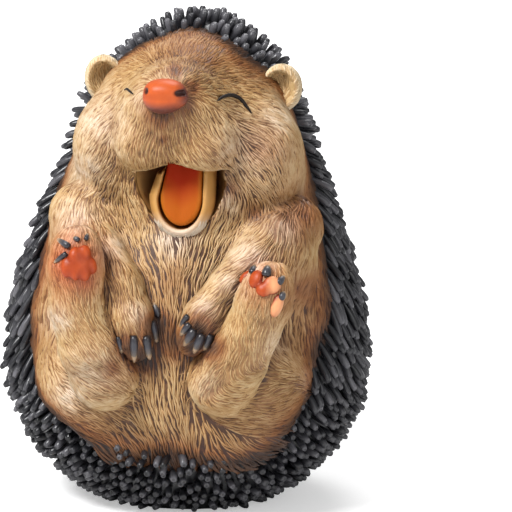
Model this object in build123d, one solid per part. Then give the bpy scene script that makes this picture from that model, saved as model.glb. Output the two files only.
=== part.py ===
from build123d import *
import math
import os

# A laughing hedgehog ornament that sits rolled back on its rump. Millimetres, +Z up.
# The origin is the centre of the flat seat on the ground. The figure faces -Y, and its own left is +X.
# Places are shares of the body's half width to the figure's left, half depth forward, and height.

# Body: one egg, stacked from oval rings, that the back and front castings are parted from.
body_height = 160.5
body_width = 111.0
body_depth = 104.0
body_corners = 28
crown_lean_left = 4.5
crown_lean_back = 2.0
# Each ring: share of the height, share of the full width and depth, share of the crown's lean.
body_ring_shares = (
    (0.000, 0.49, 0.00),
    (0.050, 0.67, 0.00),
    (0.125, 0.84, 0.00),
    (0.220, 0.95, 0.00),
    (0.320, 1.00, 0.00),
    (0.420, 0.98, 0.00),
    (0.520, 0.92, 0.05),
    (0.620, 0.81, 0.15),
    (0.700, 0.70, 0.30),
    (0.770, 0.63, 0.35),
    (0.850, 0.56, 0.40),
    (0.910, 0.46, 0.50),
    (0.955, 0.33, 0.70),
    (0.985, 0.14, 1.00),
)

# Hem, where the spines stop: a profile seen from the side, forward and up, then turned a little about Z.
hem_turn = -5.0
hem_shares = (
    (1.60, 0.100),
    (0.80, 0.122),
    (0.60, 0.180),
    (0.54, 0.280),
    (0.48, 0.390),
    (0.34, 0.560),
    (0.22, 0.650),
    (0.08, 0.710),
    (0.08, 0.860),
    (0.22, 0.940),
    (0.22, 1.150),
)
hem_reach_share = 1.60
neck_height_share = 0.60

# Spines: blunt, four-sided, in staggered rows, fused to the back casting.
spine_length = 6.0
spine_root = 2.0
spine_base_width = 4.4
spine_tip_width = 2.2
spine_row_pitch = 8.6
spine_pitch_along_row = 9.0
spine_first_row_height = 5.5
spine_clearance = 0.6
# How many degrees a spine rises above the horizontal, after its share of the height.
spine_rise_by_height_share = (
    (0.00, 2.0),
    (0.10, -8.0),
    (0.33, -42.0),
    (0.55, -30.0),
    (0.75, -15.0),
    (0.88, 15.0),
    (0.95, 50.0),
    (1.00, 75.0),
)
row_search_steps = 20

# Fur: the main locks carved in the front, low wedges that point away from the nose on the head and away from the
# throat on the belly. Each is as long and wide as given at its foot, which lies sunk in the piece that carries it.
lock_length = 11.0
lock_width = 6.4
lock_height = 1.7
lock_sink = 0.8
lock_root = 2.6
lock_row_pitch = 11.0
lock_pitch_along_row = 12.0
lock_crest_share = 0.15
lock_bare_radius = 13.0
lock_slant_share = 0.35
throat_shares = (0.050, 0.900, 0.640)

# Head.
cranium_width, cranium_depth, cranium_height = 66.0, 66.0, 66.0
cranium_shares = (0.063, 0.200, 0.773)
lower_face_width, lower_face_depth, lower_face_height = 72.0, 62.0, 46.0
lower_face_shares = (0.085, 0.269, 0.685)
cheek_width, cheek_depth, cheek_height = 32.0, 30.0, 36.0
cheek_shares = ((0.478, 0.538, 0.748), (-0.315, 0.538, 0.760))
brow_width, brow_depth, brow_height = 25.0, 26.0, 21.0
brow_shares = (0.044, 0.846, 0.880)
muzzle_width, muzzle_depth, muzzle_height = 42.0, 37.0, 31.0
muzzle_shares = (0.062, 0.712, 0.822)
lip_width, lip_depth, lip_height = 20.0, 19.0, 18.0
lip_shares = ((0.221, 0.846, 0.785), (-0.097, 0.846, 0.785))
mouth_width, mouth_depth, mouth_height = 33.0, 28.0, 27.0
mouth_shares = (0.058, 0.769, 0.688)
eye_groove_radius = 0.9
left_eye_shares = ((0.301, 1.0, 0.882), (0.382, 0.95, 0.887), (0.487, 0.90, 0.843))
right_eye_shares = ((-0.270, 0.95, 0.887), (-0.220, 0.98, 0.893), (-0.160, 1.0, 0.888))

# Nose, lower jaw and tongue.
nose_width, nose_depth, nose_height = 15.5, 11.0, 11.5
nose_shares = (0.036, 1.096, 0.898)
nostril_radius = 1.2
nostril_depth = 2.2
nostril_across_share = 0.22
nostril_drop_share = 0.20
jaw_width, jaw_depth, jaw_height = 21.5, 19.0, 27.0
jaw_shares = (0.088, 0.731, 0.673)
jaw_tilt = -14.0
jaw_rim = 2.0
jaw_floor = 4.5
jaw_opening = 7.0
tongue_width, tongue_depth, tongue_height = 13.2, 7.0, 20.5

# Ears.
ear_width, ear_depth, ear_height = 12.8, 8.5, 15.0
ear_rim = 1.6
ear_turn = 18.0
left_ear_shares = (0.612, 0.290, 0.876)
right_ear_shares = (-0.455, 0.290, 0.889)

# Arms: each has a shoulder, and a forearm whose route runs from there to the fingers.
shoulder_width, shoulder_depth, shoulder_height = 25.0, 27.0, 32.0
left_shoulder_shares = (0.620, 0.635, 0.548)
right_shoulder_shares = (-0.470, 0.600, 0.585)
arm_radii = (10.5, 9.0, 7.8, 7.2, 5.6, 3.2)
left_arm_shares = (
    (0.680, 0.500, 0.598),
    (0.549, 0.769, 0.551),
    (0.405, 0.962, 0.495),
    (0.265, 1.038, 0.442),
    (0.204, 1.067, 0.411),
    (0.177, 1.067, 0.393),
)
right_arm_shares = (
    (-0.530, 0.577, 0.617),
    (-0.425, 0.827, 0.561),
    (-0.274, 0.962, 0.503),
    (-0.186, 1.038, 0.442),
    (-0.150, 1.058, 0.399),
    (-0.142, 1.058, 0.377),
)

# Claws of the hands: each runs from inside the hand to its tip.
claw_radius = 2.0
claw_tip_radius = 0.7
claw_arch = 1.2
claw_corners = 6
left_claw_shares = (
    ((0.168, 1.096, 0.436), (0.097, 1.048, 0.414)),
    ((0.186, 1.115, 0.421), (0.133, 1.087, 0.386)),
    ((0.221, 1.115, 0.411), (0.195, 1.087, 0.368)),
    ((0.274, 1.096, 0.411), (0.283, 1.058, 0.368)),
)
right_claw_shares = (
    ((-0.248, 1.096, 0.411), (-0.239, 1.067, 0.361)),
    ((-0.186, 1.115, 0.405), (-0.159, 1.087, 0.349)),
    ((-0.106, 1.115, 0.405), (-0.080, 1.077, 0.355)),
    ((-0.050, 1.077, 0.436), (0.021, 1.029, 0.393)),
    ((-0.062, 1.038, 0.483), (0.018, 0.990, 0.455)),
)

# Legs: a haunch, and a foot whose route runs from the heel to the toes.
haunch_width, haunch_depth, haunch_height = 35.0, 33.0, 35.0
left_haunch_shares = (0.477, 0.712, 0.290)
right_haunch_shares = (-0.450, 0.712, 0.278)
foot_radii = (7.0, 10.5, 9.6, 8.3, 8.6, 7.6, 4.4)
ball_station = 4
left_foot_shares = (
    (0.354, 0.885, 0.274),
    (0.354, 0.981, 0.312),
    (0.442, 1.077, 0.364),
    (0.549, 1.154, 0.433),
    (0.619, 1.183, 0.492),
    (0.655, 1.192, 0.526),
    (0.673, 1.192, 0.545),
)
right_foot_shares = (
    (-0.336, 0.904, 0.280),
    (-0.336, 1.000, 0.318),
    (-0.407, 1.096, 0.386),
    (-0.478, 1.135, 0.474),
    (-0.478, 1.154, 0.548),
    (-0.469, 1.154, 0.586),
    (-0.460, 1.154, 0.604),
)
limb_routes = (
    (left_arm_shares, arm_radii),
    (right_arm_shares, arm_radii),
    (left_foot_shares, foot_radii),
    (right_foot_shares, foot_radii),
)
rump_width, rump_depth, rump_height = 41.0, 32.0, 30.0
rump_shares = ((0.360, 0.635, 0.187), (-0.290, 0.635, 0.181))

# Toe pads: places across and up from the ball of the foot, in shares of its radius. The sole's pad is the last.
# The claws run on from the first four pads by the given shares of a claw's length across, back and up.
pad_width, pad_depth, pad_height = 6.0, 5.0, 6.8
left_pad_shares = ((-0.60, 0.70), (-0.15, 0.80), (0.50, 0.62), (0.72, -0.15), (0.05, 0.10))
right_pad_shares = ((-0.48, 0.36), (-0.10, 0.80), (0.38, 0.86), (0.60, 0.30), (0.07, 0.22))
toe_claw_length = 7.0
toe_claw_radius = 1.6
toe_claw_tip_radius = 0.6
toe_claw_arch = 0.8
left_toe_claw_shares = ((0.15, 0.3, 0.9), (0.45, 0.3, 0.8), (0.75, 0.4, 0.5), (0.85, 0.4, 0.2))
right_toe_claw_shares = ((-0.75, 0.4, 0.5), (-0.5, 0.3, 0.8), (-0.1, 0.3, 0.95), (0.5, 0.4, 0.8))

# Plug of the pour hole in the seat.
plug_radius = 11.0
plug_depth = 4.0
plug_clearance = 0.2

# Facets: corners and bands of the oval forms, and corners of the limbs.
large_facets = (24, 12)
oval_facets = (16, 8)
small_facets = (10, 5)
limb_corners = 12
pole_share = 0.35
flatness = 0.000001
overrun = 3.0


def at(across_share, forward_share, height_share):
    """A place in the figure, as shares of its half width, half depth and height."""
    return Vector(
        across_share * body_width / 2, -forward_share * body_depth / 2, height_share * body_height
    )


def ring(plane, half_width, half_depth, corners):
    """Corners of an oval ring in a plane, anticlockwise as the plane's axis sees them."""
    turns = [2 * math.pi * (corner + 0.5) / corners for corner in range(corners)]
    return [
        plane.from_local_coords(Vector(half_width * math.cos(turn), half_depth * math.sin(turn)))
        for turn in turns
    ]


def facets(low, low_next, high_next, high):
    """One flat facet over four corners, or two where they don't lie in one plane."""
    normal = (low_next - low).cross(high_next - low).normalized()
    if abs(normal.dot(high - low)) < flatness:
        return [Face(Wire.make_polygon([low, low_next, high_next, high]))]
    return [
        Face(Wire.make_polygon([low, low_next, high_next])),
        Face(Wire.make_polygon([low, high_next, high])),
    ]


def skin(rings):
    """A closed solid over rings of as many corners each, in flat facets."""
    faces = [Face(Wire.make_polygon(rings[0][::-1])), Face(Wire.make_polygon(rings[-1]))]
    for lower, upper in zip(rings, rings[1:]):
        for corner in range(len(lower)):
            after = (corner + 1) % len(lower)
            faces += facets(lower[corner], lower[after], upper[after], upper[corner])
    return Solid(Shell(faces))


def oval(centre, width, depth, height, counts=oval_facets, tilt=0, turn=0):
    """A facetted oval form of full sizes, tilted about X and turned about Z at its own centre."""
    corners, bands = counts
    rings = []
    for band in range(bands + 1):
        latitude = math.pi * (band + pole_share) / (bands + 2 * pole_share) - math.pi / 2
        level = Plane(origin=(0, 0, height / 2 * math.sin(latitude)))
        reach = math.cos(latitude) / 2
        rings.append(ring(level, width * reach, depth * reach, corners))
    return Pos(centre) * Rotation(0, 0, turn) * Rotation(tilt, 0, 0) * skin(rings)


def limb(route, radii, corners=limb_corners):
    """A form that swells and tapers along a route of points."""
    rings = []
    for index, (point, radius) in enumerate(zip(route, radii)):
        before = route[max(index - 1, 0)]
        after = route[min(index + 1, len(route) - 1)]
        level = Plane(origin=point, x_dir=Vector(1, 0, 0), z_dir=(after - before).normalized())
        rings.append(ring(level, radius, radius, corners))
    return skin(rings)


def largest(shape):
    """The main solid of a shape, without the crumbs that a cut leaves."""
    return max(shape.solids(), key=lambda solid: solid.volume)


def joined(first, *others):
    """Forms of one casting, as one solid."""
    return largest(first.fuse(*others))


def cut_by(shape, *larger):
    """A form cut back to the surfaces of the larger pieces that it seats on."""
    return largest(shape.cut(*larger))


def between(rows, share):
    """The values of a table of rows at a share, between the two rows beside it."""
    for low, high in zip(rows, rows[1:]):
        if low[0] <= share <= high[0]:
            part = (share - low[0]) / (high[0] - low[0])
            return [start + part * (end - start) for start, end in zip(low[1:], high[1:])]
    return list(rows[-1][1:]) if share > rows[-1][0] else list(rows[0][1:])


def body_ring_at(height):
    """Centre, half width and half depth of the body at a height."""
    size_share, lean_share = between(body_ring_shares, height / body_height)
    centre = Vector(lean_share * crown_lean_left, lean_share * crown_lean_back, height)
    return centre, size_share * body_width / 2, size_share * body_depth / 2


def make_body():
    """The egg that the back casting and the belly are parted from."""
    rings = []
    for height_share, _, _ in body_ring_shares:
        centre, half_width, half_depth = body_ring_at(height_share * body_height)
        rings.append(ring(Plane(origin=centre), half_width, half_depth, body_corners))
    return skin(rings)


def make_front_zone():
    """Everything in front of the hem, as a prism across the figure."""
    profile = hem_shares + ((hem_reach_share, hem_shares[-1][1]),)
    corners = [at(0, forward_share, height_share) for forward_share, height_share in profile]
    outline = Face(Wire.make_polygon([corner - Vector(body_width, 0, 0) for corner in corners]))
    return Rotation(0, 0, hem_turn) * extrude(outline, amount=2 * body_width, dir=(1, 0, 0))


def make_spine():
    """One spine on its root, pointing up."""
    narrowing = math.degrees(math.atan2(spine_base_width - spine_tip_width, 2 * spine_length))
    root_width = spine_base_width + (spine_base_width - spine_tip_width) * spine_root / spine_length
    shaft = extrude(Rectangle(root_width, root_width), amount=spine_root + spine_length, taper=narrowing)
    return Pos(0, 0, -spine_root) * shaft


def next_row_height(height, top):
    """The height of the row of spines one pitch further up the body's slope."""
    half_width = body_ring_at(height)[1]
    ahead = height
    while ahead < top:
        ahead += spine_row_pitch / row_search_steps
        if math.hypot(body_ring_at(ahead)[1] - half_width, ahead - height) >= spine_row_pitch:
            break
    return ahead


def places_round(height, pitch, stagger):
    """Places round the body at a height, a pitch apart, with the outward direction at each."""
    centre, half_width, half_depth = body_ring_at(height)
    count = round(math.pi * (half_width + half_depth) / pitch)
    for index in range(count):
        turn = 2 * math.pi * (index + stagger / 2) / count
        outward = Vector(math.cos(turn) / half_width, math.sin(turn) / half_depth).normalized()
        yield centre + Vector(half_width * math.cos(turn), half_depth * math.sin(turn)), outward


def spine_planes():
    """Where the spines stand and which way they point, in rows staggered by half a pitch, with one on the crown."""
    top = body_ring_shares[-1][0] * body_height
    planes = [Plane(origin=body_ring_at(top)[0])]
    height = spine_first_row_height
    stagger = 0
    while height < top:
        rise = math.radians(between(spine_rise_by_height_share, height / body_height)[0])
        for foot, outward in places_round(height, spine_pitch_along_row, stagger):
            direction = outward * math.cos(rise) + Vector(0, 0, 1) * math.sin(rise)
            planes.append(Plane(origin=foot, x_dir=outward.cross(direction), z_dir=direction))
        height = next_row_height(height, top)
        stagger = 1 - stagger
    return planes


def stands_clear(plane, neighbours):
    """Whether a spine that stands in a plane keeps off the pieces in front of the hem."""
    if plane.origin.Y > spine_length:
        return True
    half_axis = plane.z_dir * spine_length / 2
    middle, tip = Vertex(*(plane.origin + half_axis)), Vertex(*(plane.origin + 2 * half_axis))
    foot = Vertex(*plane.origin)
    return all(
        piece.distance_to(foot) > spine_base_width / math.sqrt(2) + spine_clearance
        and piece.distance_to(middle) > spine_base_width / 2 + spine_clearance
        and piece.distance_to(tip) > spine_tip_width / 2 + spine_clearance
        for piece in neighbours
    )


def make_quill_coat(back_core, neighbours):
    """The back casting with its spines, and the pocket of the plug in its seat."""
    spine = make_spine()
    spines = [plane.location * spine for plane in spine_planes() if stands_clear(plane, neighbours)]
    pocket_radius = plug_radius + plug_clearance
    pocket = Pos(0, 0, (plug_depth - overrun) / 2) * Cylinder(pocket_radius, plug_depth + overrun)
    return largest(back_core.fuse(*spines).cut(pocket))


def nearest_on(piece, place):
    """The point of a piece's surface that lies nearest to a place in front of it."""
    return piece.closest_points(Vertex(*place))[0]


def make_lock(foot, outward, source):
    """One lock of fur: a low wedge on its foot, which points away from a source."""
    away = foot - source
    along = (away - outward * away.dot(outward)).normalized()
    across = outward.cross(along) * lock_width / 2
    base = foot - outward * lock_sink
    rim = [
        base - along * lock_length / 2,
        base + across,
        base + along * lock_length / 2,
        base - across,
    ]
    crest = foot + outward * lock_height - along * lock_length * lock_crest_share
    keel = foot - outward * lock_root
    faces = []
    for corner, after in zip(rim, rim[1:] + rim[:1]):
        faces += [Face(Wire.make_polygon([after, corner, crest])), Face(Wire.make_polygon([corner, after, keel]))]
    return Solid(Shell(faces))


def lies_bare(place):
    """Whether neither a limb nor the hem lies over a place on the front."""
    thick_ends = [(left_haunch_shares, haunch_width), (right_haunch_shares, haunch_width)]
    thick_ends += [(left_shoulder_shares, shoulder_width), (right_shoulder_shares, shoulder_width)]
    stations = [(station, width / 2) for station, width in thick_ends]
    for route, radii in limb_routes:
        stations += zip(route, radii)
    covered = any((place - at(*station)).length < radius + lock_height for station, radius in stations)
    return not covered and back_core.distance_to(Vertex(*place)) > lock_length / 2


def make_locks(piece, low, high, source):
    """The main locks of a piece of the front, as the front shows them, in rows staggered by half a pitch."""
    locks = []
    rows = int((high - low) / lock_row_pitch)
    columns = int(body_width / 2 / lock_pitch_along_row)
    for row in range(rows):
        for column in range(-columns, columns + 1):
            across = (column + row % 2 / 2) * lock_pitch_along_row
            sight = Axis((across, -body_width, low + (row + 1 / 2) * lock_row_pitch), (0, 1, 0))
            met = piece.find_intersection_points(sight)
            if not met:
                continue
            foot, outward = met[0]
            faces_front = outward.Y < -lock_slant_share
            if faces_front and (foot - source).length > lock_bare_radius and lies_bare(foot):
                locks.append(make_lock(foot, outward, source))
    return locks


def make_belly(front_core):
    """The front of the body from chest to rump, with the parting of the buttocks."""
    neck_block = Pos(0, 0, neck_height_share * body_height - body_height) * Box(
        2 * body_width, 2 * body_depth, 2 * body_height
    )
    rump = [oval(at(*place), rump_width, rump_depth, rump_height) & front_zone for place in rump_shares]
    solid = joined(front_core & neck_block, *rump)
    locks = make_locks(solid, rump_shares[0][-1] * body_height, neck_height_share * body_height, at(*throat_shares))
    return joined(solid, *[lock & neck_block for lock in locks])


def make_head(front_core, belly):
    """Cranium, face, cheeks, brow and muzzle as one casting, with the mouth and the closed eyes cut in."""
    lumps = [
        oval(at(*cranium_shares), cranium_width, cranium_depth, cranium_height, large_facets),
        oval(at(*lower_face_shares), lower_face_width, lower_face_depth, lower_face_height),
        oval(at(*muzzle_shares), muzzle_width, muzzle_depth, muzzle_height),
        oval(at(*brow_shares), brow_width, brow_depth, brow_height),
    ]
    lumps += [oval(at(*place), cheek_width, cheek_depth, cheek_height) for place in cheek_shares]
    lumps += [oval(at(*place), lip_width, lip_depth, lip_height) for place in lip_shares]
    solid = joined(front_core, *[lump & front_zone for lump in lumps])
    top = body_ring_shares[-1][0] * body_height
    locks = make_locks(solid, neck_height_share * body_height, top, at(*nose_shares))
    hollow = oval(at(*mouth_shares), mouth_width, mouth_depth, mouth_height)
    grooves = [make_eye_groove(solid, route) for route in (left_eye_shares, right_eye_shares)]
    return cut_by(joined(solid, *locks), belly, hollow, *grooves)


def make_eye_groove(face, route_shares):
    """The cut of a closed eye, laid along the front of the face."""
    route = [nearest_on(face, at(*place)) for place in route_shares]
    return limb(route, [eye_groove_radius] * len(route), claw_corners)


def make_nose(head):
    """The nose with its two nostrils, seated on the muzzle."""
    centre = at(*nose_shares)
    nose = oval(centre, nose_width, nose_depth, nose_height)
    nostrils = []
    for side in (-1, 1):
        mouth = centre + Vector(
            side * nostril_across_share * nose_width,
            -nose_depth / 2 - overrun,
            -nostril_drop_share * nose_height,
        )
        end = mouth + Vector(0, overrun + nostril_depth)
        nostrils.append(limb([mouth, end], [nostril_radius, nostril_radius], claw_corners))
    return cut_by(nose, head, *nostrils)


def make_lower_jaw(head, belly):
    """The dropped jaw: a U-shaped trough with a raised rim."""
    centre = at(*jaw_shares)
    outside = oval(centre, jaw_width, jaw_depth, jaw_height, tilt=jaw_tilt)
    trough = oval(
        centre + Vector(0, -jaw_floor, jaw_opening / 2),
        jaw_width - 2 * jaw_rim,
        jaw_depth,
        jaw_height - 2 * jaw_rim + jaw_opening,
        tilt=jaw_tilt,
    )
    return cut_by(outside, trough, head, belly)


def make_tongue(head, jaw):
    """The tongue, lying on the floor of the jaw."""
    centre = at(*jaw_shares) + Vector(0, jaw_depth / 2 - jaw_floor - tongue_depth / 2)
    return cut_by(oval(centre, tongue_width, tongue_depth, tongue_height, tilt=jaw_tilt), jaw, head)


def make_ear(place, turn, *seats):
    """A cupped ear, open to the front."""
    cup = oval(at(*place), ear_width, ear_depth, ear_height, turn=turn)
    bowl = oval(
        at(*place) - Vector(0, ear_depth / 2),
        ear_width - 2 * ear_rim,
        2 * (ear_depth - ear_rim),
        ear_height - 2 * ear_rim,
        turn=turn,
    )
    return cut_by(cup - bowl, *seats)


def make_limb(thick_end, route, radii, *seats):
    """A limb in one casting: its thick end at the body, and the part that runs out from there."""
    thin_end = limb([at(*place) for place in route], radii)
    return cut_by(joined(thick_end, thin_end) & front_zone, *seats)


def make_arm(shoulder_place, route, *seats):
    """A shoulder with its forearm and hand."""
    shoulder = oval(at(*shoulder_place), shoulder_width, shoulder_depth, shoulder_height)
    return make_limb(shoulder, route, arm_radii, *seats)


def make_leg(haunch_place, route, *seats):
    """A haunch with its raised foot."""
    haunch = oval(at(*haunch_place), haunch_width, haunch_depth, haunch_height)
    return make_limb(haunch, route, foot_radii, *seats)


def make_claw(root, tip, radius, tip_radius, arch):
    """One claw, arched forward between its root and its tip."""
    knuckle = (root + tip) / 2 - Vector(0, arch)
    return limb([root, knuckle, tip], [radius, radius, tip_radius], claw_corners)


def make_claws(places, *seats):
    """The claws of one hand."""
    claws = [make_claw(at(*root), at(*tip), claw_radius, claw_tip_radius, claw_arch) for root, tip in places]
    return [cut_by(claw, *seats) for claw in claws]


def pad_centres(pad_shares, foot_route, leg):
    """Where the toe pads of one foot lie on its sole."""
    reach = foot_radii[ball_station]
    ball = at(*foot_route[ball_station])
    return [nearest_on(leg, ball + Vector(across, -1, up) * reach) for across, up in pad_shares]


def make_pads(centres, leg):
    """The toe pads of one foot, each cut by the ones before it."""
    pads = []
    for centre in centres:
        pads.append(cut_by(oval(centre, pad_width, pad_depth, pad_height, small_facets), leg, *pads))
    return pads


def make_toe_claws(centres, claw_shares, *seats):
    """The claws of one foot, each running on from its toe pad."""
    claws = []
    for centre, (across, back, up) in zip(centres, claw_shares):
        tip = centre + Vector(across, back, up) * toe_claw_length
        claw = make_claw(centre, tip, toe_claw_radius, toe_claw_tip_radius, toe_claw_arch)
        claws.append(cut_by(claw, *seats))
    return claws


front_zone = make_front_zone()
body = make_body()
back_core = largest(body - front_zone)
front_core = largest(body & front_zone)

belly = make_belly(front_core)
head = make_head(front_core, belly)
nose = make_nose(head)
lower_jaw = make_lower_jaw(head, belly)
tongue = make_tongue(head, lower_jaw)
left_ear = make_ear(left_ear_shares, ear_turn, head, back_core)
right_ear = make_ear(right_ear_shares, -ear_turn, head, back_core)

left_leg = make_leg(left_haunch_shares, left_foot_shares, belly, back_core)
right_leg = make_leg(right_haunch_shares, right_foot_shares, belly, back_core)
legs = (left_leg, right_leg)
left_arm = make_arm(left_shoulder_shares, left_arm_shares, belly, head, *legs)
right_arm = make_arm(right_shoulder_shares, right_arm_shares, belly, head, *legs)
limbs = (left_arm, right_arm, *legs)
left_claws = make_claws(left_claw_shares, belly, *limbs)
right_claws = make_claws(right_claw_shares, belly, *limbs)
left_toes = pad_centres(left_pad_shares, left_foot_shares, left_leg)
right_toes = pad_centres(right_pad_shares, right_foot_shares, right_leg)
left_pads = make_pads(left_toes, left_leg)
right_pads = make_pads(right_toes, right_leg)
left_toe_claws = make_toe_claws(left_toes, left_toe_claw_shares, left_leg, belly, *left_pads)
right_toe_claws = make_toe_claws(right_toes, right_toe_claw_shares, right_leg, belly, *right_pads)

quill_coat = make_quill_coat(back_core, (head, belly, left_ear, right_ear, *limbs))
base_plug = Pos(0, 0, plug_depth / 2) * Cylinder(plug_radius, plug_depth)

pieces = {
    "quill_coat": [quill_coat],
    "belly": [belly],
    "head": [head],
    "nose": [nose],
    "lower_jaw": [lower_jaw],
    "tongue": [tongue],
    "left_ear": [left_ear],
    "right_ear": [right_ear],
    "left_arm": [left_arm],
    "right_arm": [right_arm],
    "left_hand_claws": left_claws,
    "right_hand_claws": right_claws,
    "left_leg": [left_leg],
    "right_leg": [right_leg],
    "left_foot_pads": left_pads,
    "right_foot_pads": right_pads,
    "left_foot_claws": left_toe_claws,
    "right_foot_claws": right_toe_claws,
    "base_plug": [base_plug],
}

os.makedirs("parts", exist_ok=True)
for name, solids in pieces.items():
    export_step(Compound(children=[Solid(solid.wrapped) for solid in solids], label=name), f"parts/{name}.step")
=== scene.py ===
import math

import bpy
import numpy as np
import openvdb
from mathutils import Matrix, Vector


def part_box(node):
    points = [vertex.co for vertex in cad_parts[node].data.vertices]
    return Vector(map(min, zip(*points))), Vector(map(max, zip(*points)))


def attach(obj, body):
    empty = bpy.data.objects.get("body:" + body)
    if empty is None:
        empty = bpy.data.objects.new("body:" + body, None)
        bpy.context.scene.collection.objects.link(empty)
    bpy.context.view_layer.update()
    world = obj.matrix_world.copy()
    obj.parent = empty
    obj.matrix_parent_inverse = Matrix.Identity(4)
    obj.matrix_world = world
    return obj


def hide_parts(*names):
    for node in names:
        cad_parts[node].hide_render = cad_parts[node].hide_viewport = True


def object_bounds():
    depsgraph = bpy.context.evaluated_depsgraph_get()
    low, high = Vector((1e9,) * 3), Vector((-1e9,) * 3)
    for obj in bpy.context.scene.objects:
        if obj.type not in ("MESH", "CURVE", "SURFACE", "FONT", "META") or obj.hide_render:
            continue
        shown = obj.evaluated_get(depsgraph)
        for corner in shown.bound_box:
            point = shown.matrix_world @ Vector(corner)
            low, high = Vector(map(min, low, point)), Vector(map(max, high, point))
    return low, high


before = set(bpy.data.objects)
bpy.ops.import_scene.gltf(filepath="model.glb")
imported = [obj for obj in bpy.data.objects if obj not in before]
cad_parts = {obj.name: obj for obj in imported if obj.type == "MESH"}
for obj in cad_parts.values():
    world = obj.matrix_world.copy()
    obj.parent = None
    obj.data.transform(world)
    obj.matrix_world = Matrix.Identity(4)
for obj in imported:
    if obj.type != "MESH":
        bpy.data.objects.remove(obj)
cad_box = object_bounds()

# The back casting of the ornament, under its spines.
# It is poured resin with charcoal paint, an egg that leans a little at its crown and stands on a flat seat.
# Shapes are in millimetres of the ornament, and places are shares of the body, both measured on the frame.
ornament_height = 164.09
millimetre = (cad_box[1].z - cad_box[0].z) / ornament_height
body_height, body_half_width, body_half_depth = 160.5, 55.5, 52.0
body_shares = np.array((body_half_width, -body_half_depth, body_height))
crown_lean = (4.5, 2.0)
# The body's rings: share of the height, share of the width and depth, share of the crown's lean.
body_rings = np.array(
    [
        (0.000, 0.44, 0.00), (0.050, 0.67, 0.00), (0.125, 0.86, 0.00), (0.220, 0.965, 0.00),
        (0.320, 1.005, 0.00), (0.420, 0.995, 0.00), (0.520, 0.92, 0.05), (0.620, 0.81, 0.15),
        (0.700, 0.70, 0.30), (0.770, 0.63, 0.35), (0.850, 0.56, 0.45), (0.910, 0.435, 0.80),
        (0.955, 0.28, 0.90), (0.985, 0.10, 0.90),
    ]
)
ring_steps = np.linspace(-0.1, 1.1, 241)
ring_blur = np.hanning(9) / np.hanning(9).sum()
ring_sizes, ring_leans = [
    np.convolve(np.interp(ring_steps, body_rings[:, 0], values), ring_blur, "same")
    for values in body_rings.T[1:]
]
# The hem turns a little about the body on its way up: share of the height, degrees.
hem_turns = np.array([(0.24, 5), (0.34, 0), (0.46, 4), (0.60, 5), (0.70, 0), (0.80, -5)])
# The hem from the side, as shares of the body forward and up.
hem_line = np.array(
    [
        (1.60, 0.116), (0.98, 0.128), (0.93, 0.140), (0.89, 0.157), (0.83, 0.190), (0.75, 0.240),
        (0.64, 0.300), (0.57, 0.350), (0.48, 0.410), (0.42, 0.510), (0.34, 0.575), (0.22, 0.640),
        (0.10, 0.690), (0.07, 0.740), (0.08, 0.860), (0.22, 0.940), (0.22, 1.150),
    ]
) * (body_half_depth, body_height)
# On the forehead the fur runs up to a peak: its place and width, how far back and forward the hem bends,
# and the shares of the height where the bend starts and over which it grows.
hem_peak_across, hem_peak_width = 4.5, 10.0
hem_peak_back, hem_peak_forward = 3.0, 5.0
hem_peak_start, hem_peak_growth = 0.80, 0.12
# At the lower corners the hem cuts in: how far right and left of these places, how far out, and how high up.
hem_corners, hem_corner_places, hem_corner_across = (9.0, 5.0), (-10, 10), 38
hem_corner_height, hem_corner_spread = 0.205, 0.065


def body_skin(points):
    """How far points lie outside the egg of the body."""
    share = points[..., 2] / body_height
    size = np.interp(share, ring_steps, ring_sizes)
    lean = np.interp(share, ring_steps, ring_leans)
    across = (points[..., 0] - lean * crown_lean[0]) / (size * body_half_width)
    along = (points[..., 1] - lean * crown_lean[1]) / (size * body_half_depth)
    side = (np.hypot(across, along) - 1) * size * body_half_depth
    return np.maximum(side, points[..., 2] - body_height * body_rings[-1, 0])


def off_run(points, start, end):
    """How far points lie from a straight run, and what share of the way along it."""
    run = end - start
    share = np.clip(((points - start) @ run) / (run @ run), 0, 1)
    return np.linalg.norm(points - start - share[..., None] * run, axis=-1), share


def ahead_of_hem(points):
    """How far points lie in front of the hem, below zero behind it."""
    across, height = points[..., 0], points[..., 2] / body_height
    turn = np.radians(np.interp(height, *hem_turns.T))
    forward = across * np.sin(turn) - points[..., 1] * np.cos(turn)
    peak = np.exp(-(((across - hem_peak_across) / hem_peak_width) ** 2))
    shift = hem_peak_back * peak - hem_peak_forward * (1 - peak)
    forward = forward + shift * np.clip((height - hem_peak_start) / hem_peak_growth, 0, 1)
    corner = np.interp(across, hem_corner_places, hem_corners) * (across / hem_corner_across) ** 2
    forward = forward - corner * np.exp(-(((height - hem_corner_height) / hem_corner_spread) ** 2))
    spot = np.stack([forward, points[..., 2]], axis=-1)
    nearest = np.full(spot.shape[:-1], np.inf)
    for start, end in zip(hem_line, hem_line[1:]):
        nearest = np.minimum(nearest, off_run(spot, start, end)[0])
    in_front = forward > np.interp(spot[..., 1], hem_line[:, 1], hem_line[:, 0])
    return np.where(in_front & (spot[..., 1] > hem_line[0, 1]), nearest, -nearest)


def slopes(form, points):
    """The steepest rise of a form at points."""
    step = 0.03
    corners = np.array([(1, 1, 1), (1, -1, -1), (-1, 1, -1), (-1, -1, 1)])
    return sum(form(points + corner * step)[..., None] * corner for corner in corners) / (4 * step)


def settle(form, points, times=2):
    """Points moved onto the skin of a form, and the outward directions there."""
    for _ in range(times):
        rise = slopes(form, points)
        steep = np.maximum((rise**2).sum(-1), 0.05)
        points = points - rise * (form(points) / steep)[..., None]
    return points, rise / np.maximum(np.linalg.norm(rise, axis=-1, keepdims=True), 1e-6)


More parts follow.
